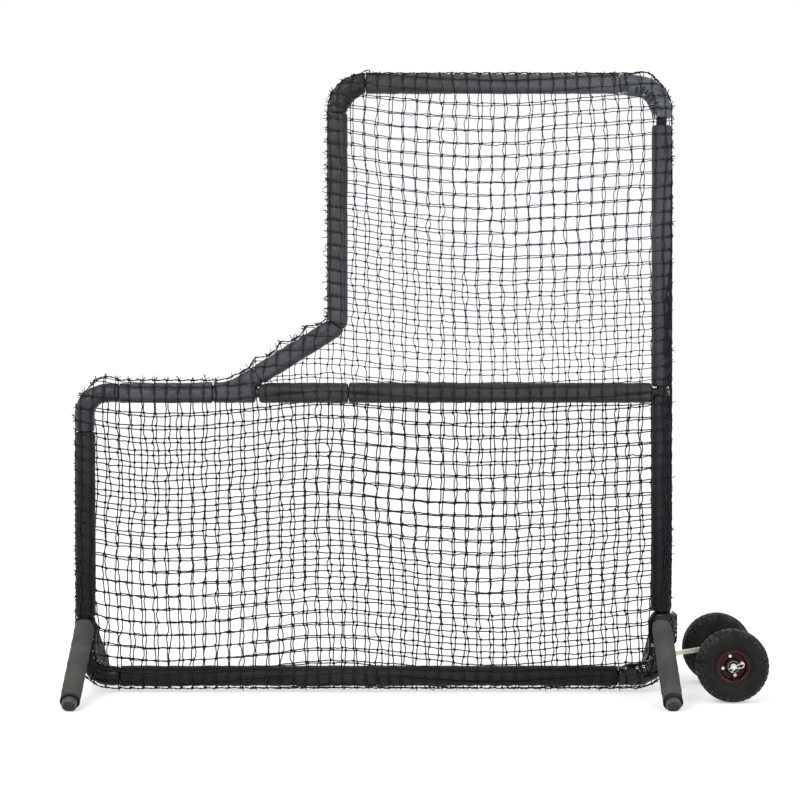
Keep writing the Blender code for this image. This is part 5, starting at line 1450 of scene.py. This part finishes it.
def knotBatch(centres, normals, ups, seed, part, scale=1.0):
    # a knot is a closed three-lobed loop: x = sin t + 2 sin 2t, y = cos t - 2 cos 2t, z = -1.25 sin 3t
    rng = np.random.default_rng(seed)
    stations, sides = net["knotStations"], net["knotSides"]
    t = fullTurn(stations)
    turn = rng.uniform(0, 2 * math.pi, len(centres))
    size = net["knot"][part] * scale * rng.uniform(0.9, 1.12, len(centres))
    flat = np.stack([np.sin(t) + 2 * np.sin(2 * t), np.cos(t) - 2 * np.cos(2 * t), -1.25 * np.sin(3 * t)], -1)
    across = np.cross(ups, normals)
    ups = np.cross(normals, across)
    first = across * np.cos(turn)[:, None] + ups * np.sin(turn)[:, None]
    second = np.cross(normals, first)
    lobes = [flat[None, :, k:k + 1] * way[:, None] for k, way in enumerate((first, second, normals))]
    line = centres[:, None] + size[:, None, None] * (lobes[0] + lobes[1] + lobes[2])
    along = np.roll(line, -1, axis=1) - np.roll(line, 1, axis=1)
    along /= np.linalg.norm(along, axis=2)[..., None]
    out = line - centres[:, None]
    a = np.cross(along, out)
    a /= np.linalg.norm(a, axis=2)[..., None] + 1e-9
    b = np.cross(a, along)
    rings = line[:, :, None] + net["knotTwine"][part] * scale * spokes(a, b, sides)
    quads = gridFaces(stations, sides, True)
    base = (np.arange(len(centres)) * stations * sides)[:, None, None]
    faces = (base + quads[None]).reshape(-1, 4)
    corners = quadCorners(stations, sides)
    uv = np.stack([np.stack([i * 0.0022 + 0 * j, j * 0.002 + 0 * i], -1) for i, j in corners], -2)
    uv = uv.reshape(-1, 4, 2)
    return rings.reshape(-1, 3), [(faces[:, ::-1], np.tile(uv, (len(centres), 1, 1))[:, ::-1])]


def knotGrid(layer):
    i = np.arange(-50, 50)
    j = np.arange(-60, 30)
    u = layer["u"] + i[:, None] * net["pitch"] + 0 * j[None, :]
    v = layer["v"] + j[None, :] * net["rise"] + 0 * i[:, None]
    du, dv = latticeDrift(u, v, layer)
    rng = np.random.default_rng(layer["seed"] + 20)
    return np.stack([u + du + rng.normal(0, 0.0018, u.shape), v + dv + rng.normal(0, 0.0010, u.shape)], -1)


def strandLines(a, b, seed):
    # the strands between neighbouring knots, slightly bowed: four stations each
    rng = np.random.default_rng(seed)
    t = np.array([0, 1 / 3, 2 / 3, 1])
    line = a[:, None] + (b - a)[:, None] * t[:, None]
    way = b - a
    square = np.stack([-way[:, 1], way[:, 0]], -1) / (np.linalg.norm(way, axis=1)[:, None] + 1e-9)
    slack = 0.0011 + 0.0016 * np.abs(way[:, 1]) / (np.linalg.norm(way, axis=1) + 1e-9)  # looser when upright
    single = (rng.normal(0, 1, len(a)) * slack)[:, None] * np.sin(math.pi * t)
    double = rng.normal(0, 0.0007, len(a))[:, None] * np.sin(2 * math.pi * t)
    bow = single + double
    return line + bow[..., None] * square[:, None]


def isTucked(flat):
    # the net goes under the corner pad's shoulder beside the right foot
    return (flat[..., 0] > rightX - 0.030) & (np.abs(flat[..., 1] - 0.243) < 0.056)


def layStrands(a, b, side, seed):
    # lays strands on the surface, each cut off where it reaches the border
    line = strandLines(a, b, seed)
    count = len(line)
    flat = line.reshape(-1, 2)
    _, gap, _ = nearestFoot(aroundLegs(flat))
    gap = gap.reshape(count, 4)
    limit = ridge + 0.0005
    startIn, endIn = gap[:, 0] < limit, gap[:, -1] < limit
    kept = (startIn | endIn) & ~isTucked(line.mean(axis=1))
    share = np.clip((limit - gap[:, 0]) / (gap[:, -1] - gap[:, 0] + 1e-9), 0, 1)
    low = np.where(startIn, 0, share)
    high = np.where(endIn, 1, share)
    t = low[:, None] + (high - low)[:, None] * np.array([0, 1 / 3, 2 / 3, 1])
    cut = kept & ~(startIn & endIn)
    at = t * 3
    k = np.minimum(at.astype(int), 2)
    f = (at - k)[..., None]
    rows = np.arange(count)[:, None]
    line = line[rows, k] * (1 - f) + line[rows, k + 1] * f
    places, normals = layNet(line[kept].reshape(-1, 2), side)
    places, normals = places.reshape(-1, 4, 3), normals.reshape(-1, 4, 3)
    long = (high - low)[kept] > 0.05
    ends = np.where(startIn[kept, None], places[:, -1], places[:, 0])[cut[kept]]
    endNormals = np.where(startIn[kept, None], normals[:, -1], normals[:, 0])[cut[kept]]
    return places[long], normals[long], ends, endNormals


def lying(spots, count):  # which points of the twine lie on a pad, from a place for every count points
    return np.repeat(1 - smoothStep(fromPad(spots), 0.034, 0.040), count)


def makeNet():
    ends, endNormals = [], []
    for label, layer in (("front", net["front"]), ("rear", net["back"])):
        side = layer["side"]
        knots = knotGrid(layer)
        a = np.vstack([knots[:-1].reshape(-1, 2), knots[:, :-1].reshape(-1, 2)])
        b = np.vstack([knots[1:].reshape(-1, 2), knots[:, 1:].reshape(-1, 2)])
        across = (a[:, 0] > leftX - 0.2) & (a[:, 0] < rightX + 0.2)
        upright = (a[:, 1] > bottomZ - 0.2) & (a[:, 1] < topZ + 0.2)
        inside = across & upright & ((a[:, 1] < railZ + 0.2) | (a[:, 0] > throatX - 0.1))
        places, normals, cutEnds, cutNormals = layStrands(a[inside], b[inside], side, layer["seed"] + 40)
        ends.append(cutEnds)
        endNormals.append(cutNormals)
        flat = knots.reshape(-1, 2)
        _, gap, _ = nearestFoot(aroundLegs(flat))
        flat = flat[(gap < ridge - 0.003) & ~isTucked(flat)]
        centres, knotNormals = layNet(flat, side)
        above, _ = layNet(flat + [0, 0.004], side)
        centres = centres + knotNormals * 0.0006
        ups = above - centres
        ups /= np.linalg.norm(ups, axis=1)[:, None] + 1e-9
        lengths = np.linalg.norm(np.diff(places, axis=1), axis=2).sum(1)
        for part, low, high in (("lower", -1, railZ), ("upper", railZ, 9)):
            pick = (places[:, 1, 2] >= low) & (places[:, 1, 2] < high)
            sides = net["strandSides"]
            parts = [tubeBatch(places[pick], normals[pick], net["twine"][part], sides, lengths[pick])]
            name = "net_" + label + "_" + part
            piece = makePiece(name + "_strands", parts, net["finish"][part])
            spots = places[pick][..., ::2].reshape(-1, 2)
            pointMask(piece, "press", lying(spots, sides))
            pick = (centres[:, 2] >= low) & (centres[:, 2] < high)
            parts = [knotBatch(centres[pick], knotNormals[pick], ups[pick], layer["seed"] + 60, part)]
            piece = makePiece(name + "_knots", parts, net["finish"][part])
            pointMask(piece, "press", lying(centres[pick][:, ::2], net["knotStations"] * net["knotSides"]))
        print("net layer laid:", label, len(places), "strands,", len(centres), "knots")
    return np.vstack(ends), np.vstack(endNormals)


border = {
    "ply": 0.00145, "apart": 0.0014, "lay": 0.030, "scallop": 0.0026, "knot": 0.95, "tail": 0.00135,
    "end": {"radius": 0.0021,
            "places": [(349, 81), (354, 77.5), (361, 74), (367, 71), (369.5, 71.5), (369.8, 74)]},
    "gathered": {"count": 10, "radius": 0.0017, "step": 0.006},
}


def makeBorder(ends, endNormals):
    # two cords twisted together that follow the ridge, a knot at each strand's end, the trimmed tails of the
    # knots, the loose end of the cord and the spare net on the right post
    s = outlineLengths
    index = np.arange(len(s))
    loose = looseness(index)
    shift = bulgeShift(outlinePlaces[:, 0], outlinePlaces[:, 1]) * (outlineNormals[:, 0] > 0.5)
    scallop = border["scallop"] * np.abs(np.sin(math.pi * s / net["pitch"])) * (loose > 0.001)
    out = net["reach"] + loose + shift + scallop + 0.0006 * waves(s, 0 * s, 81, 0.03, 0.2)
    deep = 0.004 * waves(s, 0 * s, 82, 0.15, 0.5)
    x, z = [outlinePlaces[:, k] + outlineNormals[:, k] * out for k in (0, 1)]
    middle = np.stack([x, deep, z], -1)
    normal = np.stack([outlineNormals[:, 0], 0 * s, outlineNormals[:, 1]], -1)
    middle, normal = middle[::2], normal[::2]
    twist = s[::2] / border["lay"] * 2 * math.pi
    twist = twist * round(twist[-1] / (2 * math.pi)) * 2 * math.pi / twist[-1]
    depth = np.array([0, 1.0, 0])
    parts = []
    for phase in (0, math.pi):
        wound = np.cos(twist + phase)[:, None] * normal + np.sin(twist + phase)[:, None] * depth
        line = middle + border["apart"] * wound
        along = np.roll(line, -1, axis=0) - np.roll(line, 1, axis=0)
        along /= np.linalg.norm(along, axis=1)[:, None]
        first = np.cross(along, depth)
        first /= np.linalg.norm(first, axis=1)[:, None]
        rings = line[:, None] + border["ply"] * spokes(first, np.cross(along, first), 6)
        parts.append(facingOut(gridPart(rings, wrapRows=True, u=s[::2], v=fullTurn(6) * border["ply"])))
    makePiece("net_border_cord", parts, netTwine)
    ups = np.cross(endNormals, depth)
    ups /= np.linalg.norm(ups, axis=1)[:, None] + 1e-9
    knots = knotBatch(ends, endNormals, ups, 85, "lower", border["knot"])
    rng = np.random.default_rng(86)
    x, z = ends[:, 0], ends[:, 2]
    # how many tails there are and how long, by the place on the border
    busy = 0.9 * ((z > railZ - 0.1) & (z < topZ - 0.1) & (x < upperX + 0.1))
    busy = busy + 0.75 * ((x < leftX + 0.1) & (z > 0.1)) + 0.55 * (z > topZ - 0.2) * (x < upperX + 0.2)
    busy = busy + 0.25 * (z > topZ - 0.1) + 0.35 * (x > rightX) * (z > 1.6) + 0.22 * (x > rightX)
    busy = busy + 0.35 * (z < bottomZ)
    span = 0.0125 + 0.0085 * ((z > railZ - 0.1) & (z < topZ) & (x < upperX + 0.06))
    span = span - 0.0045 * ((x < leftX + 0.1) & (z < railZ - 0.05))
    span = span - 0.0040 * (z > topZ) * (x > upperX + 0.09)
    tails = []
    for k in range(4):
        pick = rng.random(len(ends)) < np.clip(busy, 0, 1) * (0.95 - 0.2 * k)
        base, out = ends[pick], endNormals[pick]
        count = len(base)
        outwards = out * rng.uniform(0.5, 1.2, count)[:, None]
        upwards = ups[pick] * rng.normal(0, 0.8, count)[:, None]
        way = outwards + upwards + depth * rng.normal(0, 0.7, count)[:, None]
        way /= np.linalg.norm(way, axis=1)[:, None]
        bend = rng.normal(0, 1, (count, 3))
        reach = (span[pick] * rng.uniform(0.45, 1.0, count))[:, None, None]
        t = np.array([0, 0.34, 0.67, 1.0])[None, :, None]
        line = base[:, None] + way[:, None] * reach * t + bend[:, None] * 0.0026 * t ** 2
        line[..., 2] = np.maximum(line[..., 2], 0.003)
        facing = np.broadcast_to(np.cross(way, bend)[:, None], line.shape) + 1e-6
        tails.append(tubeBatch(line, facing, border["tail"], 5, np.full(count, 0.012)))
    # the cord's loose end at the upper left corner
    rope = [fromPixels(*spot) for spot in border["end"]["places"]]
    rope = smoothCurve([(x, -0.012 - 0.002 * k, z) for k, (x, z) in enumerate(rope)], 24)
    tails.append(wirePart(rope, border["end"]["radius"], 6))
    knots[0][:, 2] = np.maximum(knots[0][:, 2], 0.0003)
    # spare net gathered in a dark band on the right post's outer front
    gathered = border["gathered"]
    for k in range(gathered["count"]):
        top = 286 - 5 * k if k < 6 else 244 - 9 * k
        down = np.arange(0.36 + 0.03 * (k % 5), fromPixels(0, top)[1], gathered["step"])
        turn = 0.36 + 0.125 * k + 0.08 * waves(down, 0 * down, 90 + k, 0.05, 0.22)
        hug = net["reach"] + 0.0016 + 0.0012 * waves(down, 0 * down, 100 + k, 0.02, 0.06)
        cord = np.stack([rightX + hug * np.sin(turn), -hug * np.cos(turn), down], -1)
        tails.append(wirePart(cord, gathered["radius"], 5))
    makePiece("net_border_knots", [knots] + tails, netTwine)


netEnds, netEndNormals = makeNet()
makeBorder(netEnds, netEndNormals)
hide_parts("net_lower")
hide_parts("net_upper")
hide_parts("net_throat")
print("net made")


# finishes for the solids that stay as they are

stays = {
    "wheel_arm": paleZinc, "wheel_mount_plate": zinc, "crossbar_bolt": paleZinc,
    "lower_wheel_mount_bolt": paleZinc, "upper_wheel_mount_bolt": paleZinc,
    "front_inner_tube": tyreRubber, "rear_inner_tube": tyreRubber,
}
for node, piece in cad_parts.items():
    material = stays.get(node)
    if material is None and ("tube" in node or "frame" in node):
        material = blackSteel
    if material:
        for spot in piece.material_slots:
            spot.material = material

# floor, background, light and camera

studio = {"floor": (0.86, 0.86, 0.85, 1), "glow": 0.42, "light": 0.75}
view = {"lens": 90.337, "shift": (-0.0171, -0.0938), "place": (frameMiddle + 0.145, -7.2, 1.42), "dip": 0.8}


def seenDirectly(tree):  # 1 for the camera and for mirror-like rays
    path = tree.nodes.new("ShaderNodeLightPath")
    seen = mathNode(tree, "MAXIMUM")
    tree.links.new(path.outputs["Is Camera Ray"], seen.inputs[0])
    tree.links.new(path.outputs["Is Glossy Ray"], seen.inputs[1])
    return seen.outputs[0]


def makeFloor():
    floor = bpy.data.materials.new("paleFloor")
    floor.use_nodes = True
    tree = floor.node_tree
    tree.nodes.remove(tree.nodes["Principled BSDF"])
    diffuse = tree.nodes.new("ShaderNodeBsdfDiffuse")
    diffuse.inputs["Color"].default_value = studio["floor"]
    glow = tree.nodes.new("ShaderNodeEmission")
    strength = mathNode(tree, "MULTIPLY")
    strength.inputs[1].default_value = studio["glow"]
    both = tree.nodes.new("ShaderNodeAddShader")
    tree.links.new(seenDirectly(tree), strength.inputs[0])
    tree.links.new(strength.outputs[0], glow.inputs["Strength"])
    tree.links.new(diffuse.outputs["BSDF"], both.inputs[0])
    tree.links.new(glow.outputs["Emission"], both.inputs[1])
    tree.links.new(both.outputs["Shader"], tree.nodes["Material Output"].inputs["Surface"])
    mesh = bpy.data.meshes.new("floor")
    mesh.from_pydata([(-30, -30, 0), (30, -30, 0), (30, 60, 0), (-30, 60, 0)], [], [(0, 1, 2, 3)])
    mesh.materials.append(floor)
    plane = bpy.data.objects.new("floor", mesh)
    bpy.context.scene.collection.objects.link(plane)
    plane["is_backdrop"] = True


def makeWorld():
    world = bpy.data.worlds.new("studio")
    bpy.context.scene.world = world
    world.use_nodes = True
    tree = world.node_tree
    white = tree.nodes["Background"]
    white.inputs["Color"].default_value = (1, 1, 1, 1)
    white.inputs["Strength"].default_value = 1.0
    soft = tree.nodes.new("ShaderNodeBackground")
    soft.inputs["Color"].default_value = (1, 1, 1, 1)
    soft.inputs["Strength"].default_value = studio["light"]
    mix = tree.nodes.new("ShaderNodeMixShader")
    tree.links.new(seenDirectly(tree), mix.inputs["Fac"])
    tree.links.new(soft.outputs["Background"], mix.inputs[1])
    tree.links.new(white.outputs["Background"], mix.inputs[2])
    tree.links.new(mix.outputs["Shader"], tree.nodes["World Output"].inputs["Surface"])


def makeLamp(name, place, target, size, power):
    lamp = bpy.data.lights.new(name, "AREA")
    lamp.shape, lamp.size, lamp.energy = "DISK", size, power
    thing = bpy.data.objects.new(name, lamp)
    thing.location = place
    thing.rotation_euler = (Vector(target) - Vector(place)).to_track_quat("-Z", "Y").to_euler()
    bpy.context.scene.collection.objects.link(thing)


def makeCamera():
    camera = bpy.data.cameras.new("camera")
    camera.lens, camera.sensor_width, camera.clip_end = view["lens"], 36, 200
    camera.shift_x, camera.shift_y = view["shift"]
    thing = bpy.data.objects.new("camera", camera)
    thing.location = view["place"]
    thing.rotation_euler = (math.pi / 2 - math.radians(view["dip"]), 0, 0)
    bpy.context.scene.collection.objects.link(thing)
    bpy.context.scene.camera = thing


makeFloor()
makeWorld()
makeLamp("key", (-2.6, -4.2, 4.6), (0, 0, 1.0), 2.6, 150)
makeLamp("fill", (3.6, -4.0, 2.6), (0, 0, 1.0), 3.0, 60)
makeCamera()
bpy.context.scene.view_settings.view_transform = "Standard"
print("stage set")

low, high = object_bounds()
